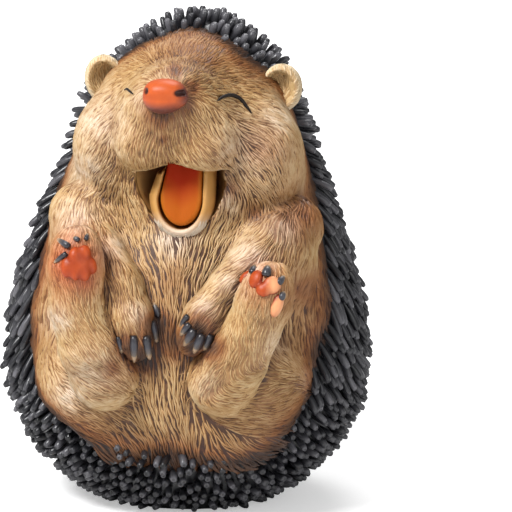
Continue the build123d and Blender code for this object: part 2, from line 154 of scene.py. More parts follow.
def cast(form, low, high, grain):
    """The skin of a form inside a block, as corner points, four-sided faces and outward directions."""
    counts = np.ceil((np.array(high) - low) / grain).astype(int) + 1
    across, along, up = [low[axis] + grain * np.arange(counts[axis]) for axis in range(3)]
    values = np.empty(counts, np.float32)
    for index, place in enumerate(across):
        layer = np.stack(np.broadcast_arrays(place, along[:, None], up[None, :]), axis=-1)
        values[index] = form(layer)
    grid = openvdb.FloatGrid(3 * grain)
    grid.copyFromArray(values)
    points, faces = grid.convertToQuads(isovalue=0)
    points, outward = settle(form, np.array(low) + points.astype(float) * grain)
    corners = points[faces]
    normals = np.cross(corners[:, 2] - corners[:, 0], corners[:, 3] - corners[:, 1])
    if (normals * outward[faces[:, 0]]).sum() < 0:
        faces = faces[:, ::-1]
    return points, faces.astype(int), outward


def make_piece(name, points, faces, paint, slot, nodes, *marks):
    """One mesh of the ornament that stands for nodes of the frame, with painter's marks on its corners.

    It has up to four marks, and the last one given also fills those that are left.
    """
    mesh = bpy.data.meshes.new(name)
    mesh.vertices.add(len(points))
    mesh.vertices.foreach_set("co", (points * millimetre).astype(np.float32).ravel())
    sides = faces.shape[1]
    mesh.loops.add(faces.size)
    mesh.loops.foreach_set("vertex_index", faces.astype(np.int32).ravel())
    mesh.polygons.add(len(faces))
    mesh.polygons.foreach_set("loop_start", np.arange(len(faces), dtype=np.int32) * sides)
    if marks:
        layer = mesh.color_attributes.new("marks", "FLOAT_COLOR", "POINT")
        marks = [np.broadcast_to(mark, len(points)) for mark in (*marks, *[marks[-1]] * 3)[:4]]
        layer.data.foreach_set("color", np.stack(marks, axis=-1).astype(np.float32).ravel())
    mesh.update(calc_edges=True)
    mesh.validate()
    mesh.shade_smooth()
    mesh.materials.append(paint.block)
    piece = bpy.data.objects.new(name, mesh)
    bpy.context.collection.objects.link(piece)
    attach(piece, "root")
    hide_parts(*nodes)


class Shading:
    """The shader nodes of a paint, or of the studio's light."""

    def __init__(self, block, shader):
        block.use_nodes = True
        self.block = block
        self.tree = block.node_tree
        self.shader = self.tree.nodes[shader]

    def feed(self, node, sockets):
        """Sockets of a node set to numbers, to colours or to what other nodes give."""
        for socket, value in sockets.items():
            if isinstance(value, (int, float)):
                node.inputs[socket].default_value = value
            elif isinstance(value, tuple):
                node.inputs[socket].default_value = (*value, 1)
            else:
                self.tree.links.new(value, node.inputs[socket])

    def add(self, kind, output, sockets=None):
        """What a new node gives when these of its sockets are fed."""
        node = self.tree.nodes.new(f"ShaderNode{kind}")
        self.feed(node, sockets or {})
        return node.outputs[output]

    def marks(self):
        """The painter's marks on a piece's corners, as separate values."""
        colour = self.add("VertexColor", "Color")
        colour.node.layer_name = "marks"
        parts = self.add("SeparateColor", "Red", {"Color": colour}).node.outputs
        return parts["Red"], parts["Green"], parts["Blue"], colour.node.outputs["Alpha"]

    def grain(self, scale, detail=4.0):
        """A noise laid over the piece in its own space."""
        place = self.add("TexCoord", "Object")
        return self.add("TexNoise", "Fac", {"Scale": scale, "Detail": detail, "Vector": place})

    def ramp(self, source, stops):
        """Colours laid along a value, as places and colours."""
        ramp = self.tree.nodes.new("ShaderNodeValToRGB")
        while len(ramp.color_ramp.elements) < len(stops):
            ramp.color_ramp.elements.new(0.5)
        for element, (place, colour) in zip(ramp.color_ramp.elements, stops):
            element.position = place
            element.color = (*colour, 1)
        self.feed(ramp, {"Fac": source})
        return ramp.outputs["Color"]

    def work(self, operation, first, second):
        """One piece of arithmetic on values or numbers."""
        result = self.add("Math", "Value", {0: first, 1: second})
        result.node.operation = operation
        return result

    def mix(self, share, first, second, blend="MIX"):
        """Two colours mixed by a share."""
        mix = self.tree.nodes.new("ShaderNodeMix")
        mix.data_type = "RGBA"
        mix.blend_type = blend
        self.feed(mix, {0: share, 6: first, 7: second})
        return mix.outputs[2]

    def cover(self, colour, scale, depth, strength=0.5, sheen=0.5):
        """The colour and sheen of the paint, and the scale, depth and strength of a fine relief in it."""
        bump = {"Strength": strength, "Distance": depth, "Height": self.grain(scale)}
        relief = self.add("Bump", "Normal", bump)
        self.feed(self.shader, {"Base Color": colour, "Specular IOR Level": sheen, "Normal": relief})


def new_paint(name, roughness):
    """A paint and its shader."""
    paint = Shading(bpy.data.materials.new(name), "Principled BSDF")
    paint.feed(paint.shader, {"Roughness": roughness})
    return paint


spine_tones = [(0.15, (0.003, 0.003, 0.004)), (0.55, (0.020, 0.020, 0.024)), (1.0, (0.115, 0.112, 0.124))]
spine_paint = new_paint("charcoal_spine_paint", 0.36)
tone, _, _, _ = spine_paint.marks()
dust = spine_paint.grain(420.0)
rough = spine_paint.add("MapRange", "Result", {"Value": dust, "To Min": 0.20, "To Max": 0.42})
spine_paint.feed(spine_paint.shader, {"Roughness": rough})
lit = spine_paint.work("ADD", tone, spine_paint.work("MULTIPLY", dust, 0.3))
spine_paint.cover(spine_paint.ramp(lit, spine_tones), 900.0, 0.00012)

shell_behind_hem, shell_tone, shell_grain = 0.5, 0.05, 1.5


def shell_form(points):
    """The egg of the body behind the hem."""
    return np.maximum(body_skin(points), ahead_of_hem(points) + shell_behind_hem)


shell_points, shell_faces, _ = cast(shell_form, (-60, -56, -2), (60, 56, 162), shell_grain)
on_egg = np.abs(body_skin(shell_points)) < 0.3
shell_points[:, 2] = np.maximum(shell_points[:, 2], 0)
make_piece(
    "coat_shell", shell_points, shell_faces, spine_paint, "spine_paint", ["quill_coat"], shell_tone, 0.0
)

# The spines, several thousand blunt resin fingers in the charcoal paint, cast with the back in one.
# They stand out at the seat, hang down over the sides and stand up on the crown, and their ends are dimpled.
spine_pitch, spine_radius, spine_sink, spine_droop = 3.0, 1.25, 1.4, 0.5
spine_length, spine_swell = (4.6, 6.4), (0.85, 1.12)
spine_stray, spine_tilt_stray = 0.13, 7
# How long they are, as shares of that length, up from the seat.
spine_reaches = np.array(
    [
        (0.0, 0.6), (0.1, 0.8), (0.2, 1.1), (0.3, 1.45), (0.45, 1.45),
        (0.6, 1.25), (0.8, 1.15), (0.87, 0.8), (1.0, 0.85),
    ]
)
# How many degrees they rise, up from the seat.
spine_rises = np.array(
    [
        (0.00, 2), (0.10, -8), (0.20, -26), (0.28, -48), (0.42, -58), (0.58, -48), (0.73, -18),
        (0.82, 15), (0.90, 50), (0.95, 72), (1.00, 84),
    ]
)
# Along a spine: share of its length, share of its radius.
spine_stations = np.array([(0.0, 0.75), (0.4, 1.0), (0.72, 0.98), (0.9, 0.82), (0.985, 0.52), (0.94, 0.26)])
spine_sides = 8
spine_cap = np.array([(0, 1, 2, 7), (7, 2, 3, 6), (6, 3, 4, 5)])
# Their tone and how much it differs, how much lighter the tips and the crown are, and how much painted shade
# darkens the dimple.
spine_tone, spine_tone_stray = 0.36, 0.17
tip_light, crown_light, crown_light_heights, dimple_painted_shade = 0.30, 0.14, (60, 150), 0.3
spine_bands = (0, 45, 85, 200)


def scatter(points, faces, pitch, rng):
    """Places on a skin about one pitch apart, as random as a sculptor's hand."""
    corners = points[faces]
    diagonals = np.cross(corners[:, 2] - corners[:, 0], corners[:, 3] - corners[:, 1])
    area = np.linalg.norm(diagonals, axis=-1) / 2
    count = int(6 * area.sum() / pitch**2)
    chosen = rng.choice(len(faces), count, p=area / area.sum())
    side, rise = rng.random((2, count, 1))
    low = corners[chosen, 0] * (1 - side) + corners[chosen, 1] * side
    high = corners[chosen, 3] * (1 - side) + corners[chosen, 2] * side
    places = low * (1 - rise) + high * rise
    cells = {}
    kept = []
    for index, cell in enumerate(map(tuple, np.floor(places / pitch).astype(int))):
        near = [
            other
            for step in np.ndindex(3, 3, 3)
            for other in cells.get((cell[0] + step[0] - 1, cell[1] + step[1] - 1, cell[2] + step[2] - 1), ())
        ]
        if not near or (((places[near] - places[index]) ** 2).sum(-1) > pitch**2).all():
            cells.setdefault(cell, []).append(index)
            kept.append(index)
    return places[kept]


def walls(count, rows, sides, closed=True):
    """Four-sided faces between the rings of several tubes, or between the rows of several open strips."""
    first = np.arange(count)[:, None, None] * rows * sides + np.arange(rows - 1)[:, None] * sides
    corner = np.arange(sides if closed else sides - 1)
    after = (corner + 1) % sides
    corners = [first + corner, first + after, first + sides + after, first + sides + corner]
    return np.stack(corners, axis=-1).reshape(-1, 4)


def make_spines(roots, rng):
    """Spines from their roots on the egg, as corner points, faces and their tones."""
    count = len(roots)
    around = np.arctan2(roots[:, 1] / body_half_depth, roots[:, 0] / body_half_width)
    around += rng.normal(0, spine_stray, count)
    height = roots[:, 2] / body_height
    rise = np.radians(np.interp(height, *spine_rises.T) + rng.normal(0, spine_tilt_stray, count))
    aim = np.stack([np.cos(around) * np.cos(rise), np.sin(around) * np.cos(rise), np.sin(rise)], axis=-1)
    side = np.cross(aim, (0, 0, 1)) + rng.normal(0, 1e-3, (count, 3))
    side /= np.linalg.norm(side, axis=-1, keepdims=True)
    over = np.cross(side, aim)
    length = rng.uniform(*spine_length, (count, 1)) * np.interp(height, *spine_reaches.T)[:, None]
    radius = spine_radius * rng.uniform(*spine_swell, (count, 1))
    turns = np.arange(spine_sides) * 2 * math.pi / spine_sides
    rings = []
    for along, wide in spine_stations:
        centre = roots + aim * (along * (length + spine_sink) - spine_sink)
        centre = centre - over * spine_droop * along**2
        spread = side[:, None, :] * np.cos(turns)[:, None] + over[:, None, :] * np.sin(turns)[:, None]
        rings.append(centre[:, None, :] + spread * (radius * wide)[:, :, None])
    points = np.stack(rings, axis=1)
    first = np.arange(count)[:, None, None] * len(rings) * spine_sides
    caps = first + (len(rings) - 1) * spine_sides + spine_cap
    tone = spine_tone + spine_tone_stray * rng.normal(size=(count, 1, 1))
    tone = tone + tip_light * (spine_stations[:, 0] - 0.5)[None, :, None]
    tone = tone + np.interp(roots[:, 2], crown_light_heights, (0, crown_light))[:, None, None]
    tone = np.broadcast_to(tone, points.shape[:3]).copy()
    # Painted shade in the dimple at each spine's end.
    tone[:, -1] -= dimple_painted_shade
    points = points.reshape(-1, 3)
    points[:, 2] = np.maximum(points[:, 2], 0.05)
    faces = np.concatenate([walls(count, len(rings), spine_sides), caps.reshape(-1, 4)])
    return points, faces, np.clip(tone.reshape(-1), 0, 1)


rng = np.random.default_rng(3)
skin_faces = shell_faces[on_egg[shell_faces].all(axis=1)]
roots = scatter(shell_points, skin_faces, spine_pitch, rng)
roots = roots[roots[:, 2] > 1.0]
for number, (low, high) in enumerate(zip(spine_bands, spine_bands[1:]), 1):
    held = roots[(roots[:, 2] >= low) & (roots[:, 2] < high)]
    points, faces, tone = make_spines(held, rng)
    make_piece(f"spines_{number}", points, faces, spine_paint, "spine_paint", ["quill_coat"], tone, 0.0)

# The masses of the front casting: belly, head, arms and legs, one skin that runs over from mass to mass.
# Places are shares of the body as before, and sizes are full widths, depths and heights.
view_turn, view_rise = math.radians(9.0), math.radians(12.0)
view_back = np.array(
    (
        math.sin(view_turn) * math.cos(view_rise),
        -math.cos(view_turn) * math.cos(view_rise),
        math.sin(view_rise),
    )
)
view_right = np.array((math.cos(view_turn), math.sin(view_turn), 0))
view_up = np.cross(view_back, view_right)
neck_height = 0.60 * body_height
# Each form of the head: its place, its size, and how softly it runs into the forms before it.
head_ovals = (
    ((0.063, 0.200, 0.773), (66, 66, 65), 0.0), ((0.085, 0.269, 0.685), (71, 61, 46), 9.0),
    ((0.470, 0.520, 0.748), (31, 29, 35), 7.0), ((-0.300, 0.520, 0.760), (31, 29, 35), 7.0),
    ((0.062, 0.700, 0.822), (39, 35, 30), 9.0), ((0.044, 0.830, 0.876), (21, 24, 18), 12.0),
    ((0.221, 0.850, 0.787), (20, 19, 18), 3.5), ((-0.097, 0.850, 0.787), (20, 19, 18), 3.5),
)
mouth_place, mouth_size, mouth_outset = (0.083, 0.769, 0.688), (33, 28, 27), 0.3
# How wide the mouth is, as shares of an oval's width, up from its bottom.
mouth_tapers = np.array(
    [(97, 0.60), (103, 0.76), (106, 0.78), (111, 0.85), (117, 0.97), (121, 1.25), (124, 1.4)]
)
rump_size = (41, 32, 30)
rump_places = ((0.360, 0.635, 0.187), (-0.290, 0.635, 0.181))
# How softly the masses run into one another.
rump_blend, haunch_blend, neck_blend, lip_blend, limb_blend, joint_blend = 4.0, 9.0, 3.5, 1.5, 1.5, 1.6
shoulder_size, haunch_size = (25, 27, 32), (35, 33, 35)
arm_radii = (10.5, 9.0, 7.8, 7.2, 5.6, 3.2)
foot_radii = (7.0, 10.5, 9.6, 8.3, 8.6, 7.6, 4.4)
# Each limb: its thick end, and the route and radii of the arm or foot that grows from it.
limbs = {
    "left_arm": (
        ((0.620, 0.635, 0.548), shoulder_size),
        (
            (0.680, 0.500, 0.598), (0.549, 0.769, 0.551), (0.405, 0.962, 0.495), (0.265, 1.038, 0.442),
            (0.204, 1.067, 0.411), (0.177, 1.067, 0.393),
        ),
        arm_radii,
    ),
    "right_arm": (
        ((-0.470, 0.600, 0.585), shoulder_size),
        (
            (-0.530, 0.577, 0.617), (-0.425, 0.827, 0.561), (-0.274, 0.962, 0.503),
            (-0.186, 1.038, 0.442), (-0.150, 1.058, 0.399), (-0.142, 1.058, 0.377),
        ),
        arm_radii,
    ),
    "left_leg": (
        ((0.477, 0.712, 0.290), haunch_size),
        (
            (0.354, 0.885, 0.274), (0.354, 0.981, 0.312), (0.442, 1.077, 0.364), (0.549, 1.154, 0.433),
            (0.619, 1.183, 0.492), (0.655, 1.192, 0.526), (0.673, 1.192, 0.545),
        ),
        foot_radii,
    ),
    "right_leg": (
        ((-0.450, 0.712, 0.278), haunch_size),
        (
            (-0.336, 0.904, 0.280), (-0.336, 1.000, 0.318), (-0.407, 1.096, 0.386),
            (-0.478, 1.135, 0.474), (-0.478, 1.154, 0.548), (-0.469, 1.154, 0.586),
            (-0.460, 1.154, 0.604),
        ),
        foot_radii,
    ),
}


def soft_union(first, second, blend):
    """Two forms run together over a blend."""
    share = np.clip(0.5 + 0.5 * (second - first) / blend, 0, 1)
    return second + share * (first - second) - blend * share * (1 - share)


def oval(points, middle, size):
    """How far points lie outside an oval form."""
    half = np.array(size) / 2
    spot = (points - middle) / half
    reach = np.linalg.norm(spot, axis=-1)
    return reach * (reach - 1) / np.maximum(np.linalg.norm(spot / half, axis=-1), 1e-6)


def limb(points, route, radii):
    """How far points lie outside a form that swells and tapers along a route."""
    route = np.array(route) * body_shares
    form = None
    for start, end, first, last in zip(route, route[1:], radii, radii[1:]):
        away, share = off_run(points, start, end)
        reach = away - first - share * (last - first)
        form = reach if form is None else soft_union(form, reach, joint_blend)
    return form


def mouth_form(points):
    """How far points lie outside the hollow of the mouth."""
    middle = mouth_place[0] * body_half_width
    taper = np.interp(points[..., 2], *mouth_tapers.T)
    drawn_in = np.array(points)
    drawn_in[..., 0] = middle + (points[..., 0] - middle) / taper
    return oval(drawn_in, np.array(mouth_place) * body_shares, mouth_size) * np.minimum(taper, 1)


def masses(points, whole=False):
    """How far points lie outside the front skin, whole or with its mouth, and outside each of its masses."""
    rump = np.minimum(*[oval(points, np.array(place) * body_shares, rump_size) for place in rump_places])
    belly = soft_union(body_skin(points), rump, rump_blend)
    head = None
    for place, size, blend in head_ovals:
        form = oval(points, np.array(place) * body_shares, size)
        head = form if head is None else soft_union(head, form, blend)
    below_neck = neck_height - points[..., 2]
    own = {"belly": np.maximum(belly, -below_neck), "head": np.maximum(np.minimum(head, belly), below_neck)}
    form = belly
    thin_ends = []
    for name, ((place, size), route, radii) in limbs.items():
        thick = oval(points, np.array(place) * body_shares, size)
        thin = limb(points, route, radii)
        form = soft_union(form, thick, haunch_blend)
        thin_ends.append(thin)
        own[name] = np.minimum(thick, thin)
    form = soft_union(form, head, neck_blend)
    if not whole:
        form = -soft_union(-form, mouth_form(points) - mouth_outset, lip_blend)
    for thin in thin_ends:
        form = soft_union(form, thin, limb_blend)
    return form, own


def front_form(points):
    """How far points lie outside the whole front skin."""
    return masses(points)[0]


def seen(points):
    """Where points show in the photographer's view, right and up."""
    return np.stack([points @ view_right, points @ view_up], axis=-1)


# The fur carved in the front: tan paint with a brown wash that stays in the grooves, dry-brushed pale on top.
# Each lock is a thin ridge, thick in its middle and pointed at its tip, laid over the next like a shingle.
# Guides say which way the locks point: right, up, degrees from the right, and how coarse they are there.
lock_height = np.array((-0.25, 0.26, 0.54, 0.60, 0.48, 0.0))
lock_width = np.array((0.50, 0.90, 1.0, 0.95, 0.66, 0.08))
lock_sink, lock_sizes, lock_spread, lock_tone_stray = 0.24, (0.75, 1.25), 6, 0.13
# How the locks sway along the skin: degrees, length of a swell, seed.
lock_sways = ((12, 9.0, 5), (8, 4.0, 6))
# How light the grooves are against how coarse the fur is, and the crests against the grooves; root and tip.
groove_tones = np.array([(0.75, 0.42), (1.0, 0.27), (1.2, 0.02)])
crest_tones = np.array([(0.02, 1.0), (0.27, 0.86)])
root_tone, tip_tone = 0.25, 0.6
guide_reach, spot_softness, crease_reaches = 7.0, 1.6, (1.5, 4.0)
# Round spots: right, up, radius, strength. First the charcoal mist, partly airbrushed paint and partly
# painted shade under the nose, round the hands and claws and in creases; then the orange stain.
mist_and_shade_spots = np.array(
    [
        (-7.5, 125.0, 6.5, 0.85), (-1.5, 127.0, 5.0, 0.85), (1.5, 131.5, 3.6, 0.8),
        (-3.5, 137.4, 3.0, 0.8), (-7.6, 120.0, 2.6, 0.6), (-7.3, 115.5, 2.2, 0.6),
        (-9.5, 56.0, 6.5, 1.0), (-4.0, 51.0, 7.0, 0.85), (3.0, 54.0, 6.5, 1.0), (7.5, 49.5, 5.0, 0.9),
        (-19.0, 48.5, 5.5, 0.9), (-14.5, 45.5, 6.0, 1.0), (-10.5, 52.5, 5.0, 1.0),
        (1.5, 49.0, 5.0, 0.95), (-24.0, 43.0, 4.0, 0.6), (2.0, 149.0, 18.0, 0.4),
        (38.0, 92.0, 13.0, 0.5), (27.0, 112.0, 12.0, 0.22), (40.0, 66.0, 12.0, 0.55),
        (-6.0, 14.0, 9.0, 0.4), (-5.0, 66.0, 13.0, 0.2), (22.0, 92.0, 3.5, 0.5),
        (14.0, 100.0, 3.5, 0.4),
    ]
)
stain_spots = np.array([(-36.0, 76.0, 10.5, 1.0), (-33.0, 71.0, 6.0, 0.8), (24.0, 70.5, 7.5, 0.5)])
# Where the pale dry brush caught the fur.
pale_spots = np.array(
    [
        (-4.0, 84.5, 6.0, 1.5), (-27.5, 121.0, 11.0, 0.6), (-33.0, 107.0, 8.0, 0.6),
        (-36.0, 90.0, 7.0, 0.7), (-24.0, 80.5, 5.0, 0.6), (-41.5, 58.0, 5.0, 0.8),
        (-31.0, 40.5, 10.0, 0.5), (-38.0, 33.0, 7.0, 0.7), (20.0, 112.5, 12.0, 0.5),
        (28.0, 122.0, 7.0, 0.6), (12.0, 97.0, 6.0, 0.6), (31.5, 88.0, 6.0, 0.9),
        (20.0, 77.0, 6.5, 0.85), (13.0, 70.0, 4.5, 0.6), (-6.0, 133.0, 7.0, 0.5),
        (-14.0, 128.0, 5.0, 0.5), (28.0, 50.0, 5.0, 0.5), (-16.0, 60.0, 4.0, 0.7),
        (6.0, 61.0, 4.5, 0.6), (6.0, 37.0, 5.0, 0.35),
    ]
)
# How far the darkening reaches in from the hem, from the figure's right side to its left, and as a share of
# it up.
hem_fades = np.array([(-40, 4.0), (-15, 5.0), (10, 5.5), (35, 7.5)])
hem_fade_shares = np.array([(20, 0.5), (50, 1)])
hem_darkening, mist_and_shade_swell, mist_and_shade_swell_length = 0.95, 0.08, 14.0
# The mouth in the head's fur: how far out its edge counts, and how deep its paint and its bare hollow start.
mouth_edge, mouth_depth, bare_depth = 0.6, 0.4, 1.4
# The mouth's tone in the fur, the painted shade it gains each millimetre deeper in, and how much the creases
# darken, painted shade together with the wash that pooled there.
mouth_tone, mouth_depth_shade, hollow_shade_and_wash = 0.5, 0.06, 0.5
# A furred piece: how far it reaches into its neighbours and under the hem, its grain, and where locks stop.
fur_overlap, fur_under_hem, fur_grain, lock_under_hem = 0.4, 2.0, 1.0, 1.0


def waves(points, length, seed):
    """A smooth random swell between about -1 and 1."""
    rng = np.random.default_rng(seed)
    total = np.zeros(points.shape[:-1])
    for _ in range(6):
        pull = rng.normal(size=3)
        pull *= 2 * math.pi / (length * np.linalg.norm(pull) * rng.uniform(0.7, 1.4))
        total += np.sin(points @ pull + rng.uniform(0, 2 * math.pi))
    return total / 3


def comb(points, outward, guides, reach):
    """Which way the fur points at places on a skin, and how coarse it is there."""
    apart = ((seen(points)[:, None, :] - guides[None, :, :2]) ** 2).sum(-1)
    weight = np.exp(-(apart - apart.min(1, keepdims=True)) / (2 * reach**2))
    heading = np.radians(guides[:, 2])
    along = weight @ np.stack([np.cos(heading), np.sin(heading)], axis=-1)
    flow = along[:, :1] * view_right + along[:, 1:] * view_up
    flow -= (flow * outward).sum(-1, keepdims=True) * outward
    flow /= np.maximum(np.linalg.norm(flow, axis=-1, keepdims=True), 1e-6)
    turn = sum(np.radians(sway) * waves(points, length, seed) for sway, length, seed in lock_sways)[:, None]
    flow = flow * np.cos(turn) + np.cross(outward, flow) * np.sin(turn)
    return flow, (weight @ guides[:, 3] / weight.sum(1))[:, None]


def lay_locks(form, roots, guides, length, width, rng, reach=guide_reach, lift=1.0):
    """Fur locks over a skin, as corner points, faces, and how high each corner lies on its lock."""
    stations = len(lock_height)
    size = rng.uniform(*lock_sizes, (len(roots), 1))
    spread = np.radians(rng.normal(0, lock_spread, (len(roots), 1)))
    place, outward = settle(form, roots)
    depths = []
    rows = []
    for station in range(stations):
        flow, coarse = comb(place, outward, guides, reach)
        scale = size * coarse
        depths.append(np.interp(coarse[:, 0], *groove_tones.T))
        flow = flow * np.cos(spread) + np.cross(outward, flow) * np.sin(spread)
        side = np.cross(outward, flow) * width * scale * lock_width[station] / 2
        sunk = place - outward * lock_sink * lift
        crest = place + outward * lock_height[station] * scale * lift
        rows.append(np.stack([sunk - side, crest, sunk + side], axis=1))
        place, outward = settle(form, place + flow * length * scale / (stations - 1), 1)
    depths = np.stack(depths, axis=1)
    ridge = np.repeat(depths[:, :, None], 3, axis=2)
    ridge[:, 1:, 1] = np.interp(depths[:, 1:], *crest_tones.T)
    ridge[:, 0, 1] = root_tone
    ridge[:, -1] = tip_tone
    faces = walls(len(roots), stations, 3, closed=False)
    return np.stack(rows, axis=1).reshape(-1, 3), faces, ridge.reshape(-1)


def spot_strength(points, spots):
    """How strong round spots are at places: spots of misted paint, of dry brush, of stain and of painted
    shade.
    """
    spot = seen(points)
    mist_and_shade = np.zeros(len(points))
    for across, up, radius, strength in spots:
        apart = ((spot - (across, up)) ** 2).sum(-1)
        mist_and_shade = np.maximum(mist_and_shade, strength * np.exp(-apart / (2 * (radius / spot_softness) ** 2)))
    return mist_and_shade


def hollow_shade_share(form, points, outward):
    """How deep places lie in a crease of a form, for the painted shade there; in the fur it also stands for
    the wash that pooled.
    """
    depth = np.zeros(len(points))
    for reach in crease_reaches:
        depth += np.clip(reach - form(points + outward * reach), 0, None) / reach
    return np.clip(depth, 0, 1)


def per_lock(values):
    """Values of locks given to each of their corners."""
    return np.repeat(values, len(lock_height) * 3, axis=0)


def join(blocks):
    """Blocks of corner points and faces as one."""
    points, faces = zip(*blocks)
    starts = np.cumsum([0, *[len(block) for block in points]])
    return np.concatenate(points), np.concatenate([block + start for block, start in zip(faces, starts)])


fur_tones = [
    (0.0, (0.060, 0.022, 0.007)),
    (0.25, (0.24, 0.115, 0.038)),
    (0.6, (0.485, 0.30, 0.12)),
    (1.0, (0.64, 0.475, 0.265)),
]
patch_tan, caught_cream, stain_orange = (0.80, 0.60, 0.36), (0.82, 0.72, 0.62), (0.85, 0.17, 0.025)
mist_and_shade_tones = [(0.0, (1, 1, 1)), (0.5, (0.54, 0.34, 0.23)), (1.0, (0.10, 0.060, 0.050))]
fur_paint = new_paint("tan_fur_paint", 0.5)
ridge, mist_and_shade, pale, stain = fur_paint.marks()
wear = fur_paint.grain(330.0, 6.0)
lifted = fur_paint.work("ADD", ridge, fur_paint.work("MULTIPLY", wear, 0.8))
lifted = fur_paint.work("SUBTRACT", lifted, 0.4)
patches = fur_paint.work("MULTIPLY", fur_paint.grain(55.0, 3.0), 0.5)
tan = fur_paint.mix(patches, fur_paint.ramp(lifted, fur_tones), patch_tan, "MULTIPLY")
caught = fur_paint.work("MULTIPLY", pale, fur_paint.work("MULTIPLY", lifted, wear))
tan = fur_paint.mix(fur_paint.work("MULTIPLY", caught, 1.5), tan, caught_cream)
# The charcoal mist and the painted shade darken the tan.
tan = fur_paint.mix(1.0, tan, fur_paint.ramp(mist_and_shade, mist_and_shade_tones), "MULTIPLY")
tan = fur_paint.mix(stain, tan, stain_orange, "MULTIPLY")
fur_paint.cover(tan, 1100.0, 0.0001, 0.8)


def make_fur_piece(name, guides, seed, pitch, length, width):
    """One furred mass: its own skin and the locks laid over it."""
    rng = np.random.default_rng(seed)
    guides = np.array(guides, float)
    low, high = [np.array(corner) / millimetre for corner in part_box(name)]

    def form(points):
        whole, own = masses(points)
        others = np.minimum.reduce([own[other] for other in own if other != name])
        mine = (own[name] - others) / 2 - fur_overlap
        return np.maximum(np.maximum(whole, mine), -ahead_of_hem(points) - fur_under_hem)

    points, faces, outward = cast(form, low - 5, high + 5, fur_grain)
    skin = np.abs(front_form(points)) < 0.25
    uncut = masses(points, whole=True)[0]
    in_mouth = (mouth_form(points) < mouth_edge) & (uncut < -mouth_depth)
    bare = in_mouth & (uncut < -bare_depth)
    roots = scatter(points, faces[(skin & ~bare)[faces].all(axis=1)], pitch, rng)
    roots = roots[ahead_of_hem(roots) > -lock_under_hem]
    lock_points, lock_faces, ridge = lay_locks(front_form, roots, guides, length, width, rng)
    tone = per_lock(rng.normal(0, lock_tone_stray, len(roots)))
    all_points, all_faces = join([(points, faces), (lock_points, lock_faces)])
    groove = np.interp(comb(points, outward, guides, guide_reach)[1][:, 0], *groove_tones.T)
    # In the mouth the fur's skin takes the mouth's tone, with painted shade deeper in.
    groove = np.where(in_mouth, mouth_tone - mouth_depth_shade * np.clip(-uncut - 1, 0, 7), groove)
    outward = np.concatenate([outward, settle(front_form, roots, 1)[1]])
    # The creases between the masses are darkened, painted shade together with the wash that pooled there.
    hollow_shade = hollow_shade_share(front_form, np.concatenate([points, roots]), outward)
    hollow_shade = np.concatenate([hollow_shade[: len(points)] * (1 - in_mouth), per_lock(hollow_shade[len(points) :])])
    height = np.clip(np.concatenate([groove, ridge + tone]) - hollow_shade_and_wash * hollow_shade, 0, 1)
    # The fur is darker towards the hem.
    fade = np.interp(all_points[:, 0], *hem_fades.T) * np.interp(all_points[:, 2], *hem_fade_shares.T)
    edge = hem_darkening * np.exp(-np.maximum(ahead_of_hem(all_points), 0) / fade)
    # Darker in the spots of mist and of painted shade.
    mist_and_shade = np.maximum(edge, spot_strength(all_points, mist_and_shade_spots))
    mist_and_shade = np.clip(mist_and_shade + mist_and_shade_swell * waves(all_points, mist_and_shade_swell_length, 9), 0, 1)
    marks = (height, mist_and_shade, spot_strength(all_points, pale_spots), spot_strength(all_points, stain_spots))
    make_piece(f"{name}_fur", all_points, all_faces, fur_paint, "fur_paint", [name], *marks)


# The belly, from the chest to the two halves of the rump, with the broadest and deepest locks.
# Its fur runs down from the throat and out over the rump.
belly_guides = [
    (-3, 78, 270, 1.3), (-15, 80, 290, 1.2), (10, 79, 244, 1.2), (-22, 84, 296, 1),
    (17, 84, 240, 1), (-12, 70, 294, 1.3), (6, 70, 244, 1.3), (-3, 64, 270, 1.3),
    (-7, 51, 270, 1.3), (-7, 37, 271, 1.4), (-15, 34, 280, 1.4), (1, 36, 262, 1.4),
    (-20, 31, 297, 1.3), (-4, 28, 270, 1.4), (-6, 16, 270, 1.4), (-37, 32, 330, 1.1),
    (-29, 27, 323, 1.2), (-19, 21, 300, 1.3), (-42, 31, 307, 1), (-25, 18, 307, 1.2),
    (6, 23, 290, 1.3), (16, 23, 315, 1.1), (26, 21, 330, 1), (34, 28, 340, 1), (9, 14, 287, 1.2),
    (-47, 80, 252, 1), (-48, 54, 270, 1), (42, 77, 282, 1), (41, 54, 276, 1),
]
make_fur_piece("belly", belly_guides, 11, pitch=1.35, length=6.8, width=0.6)

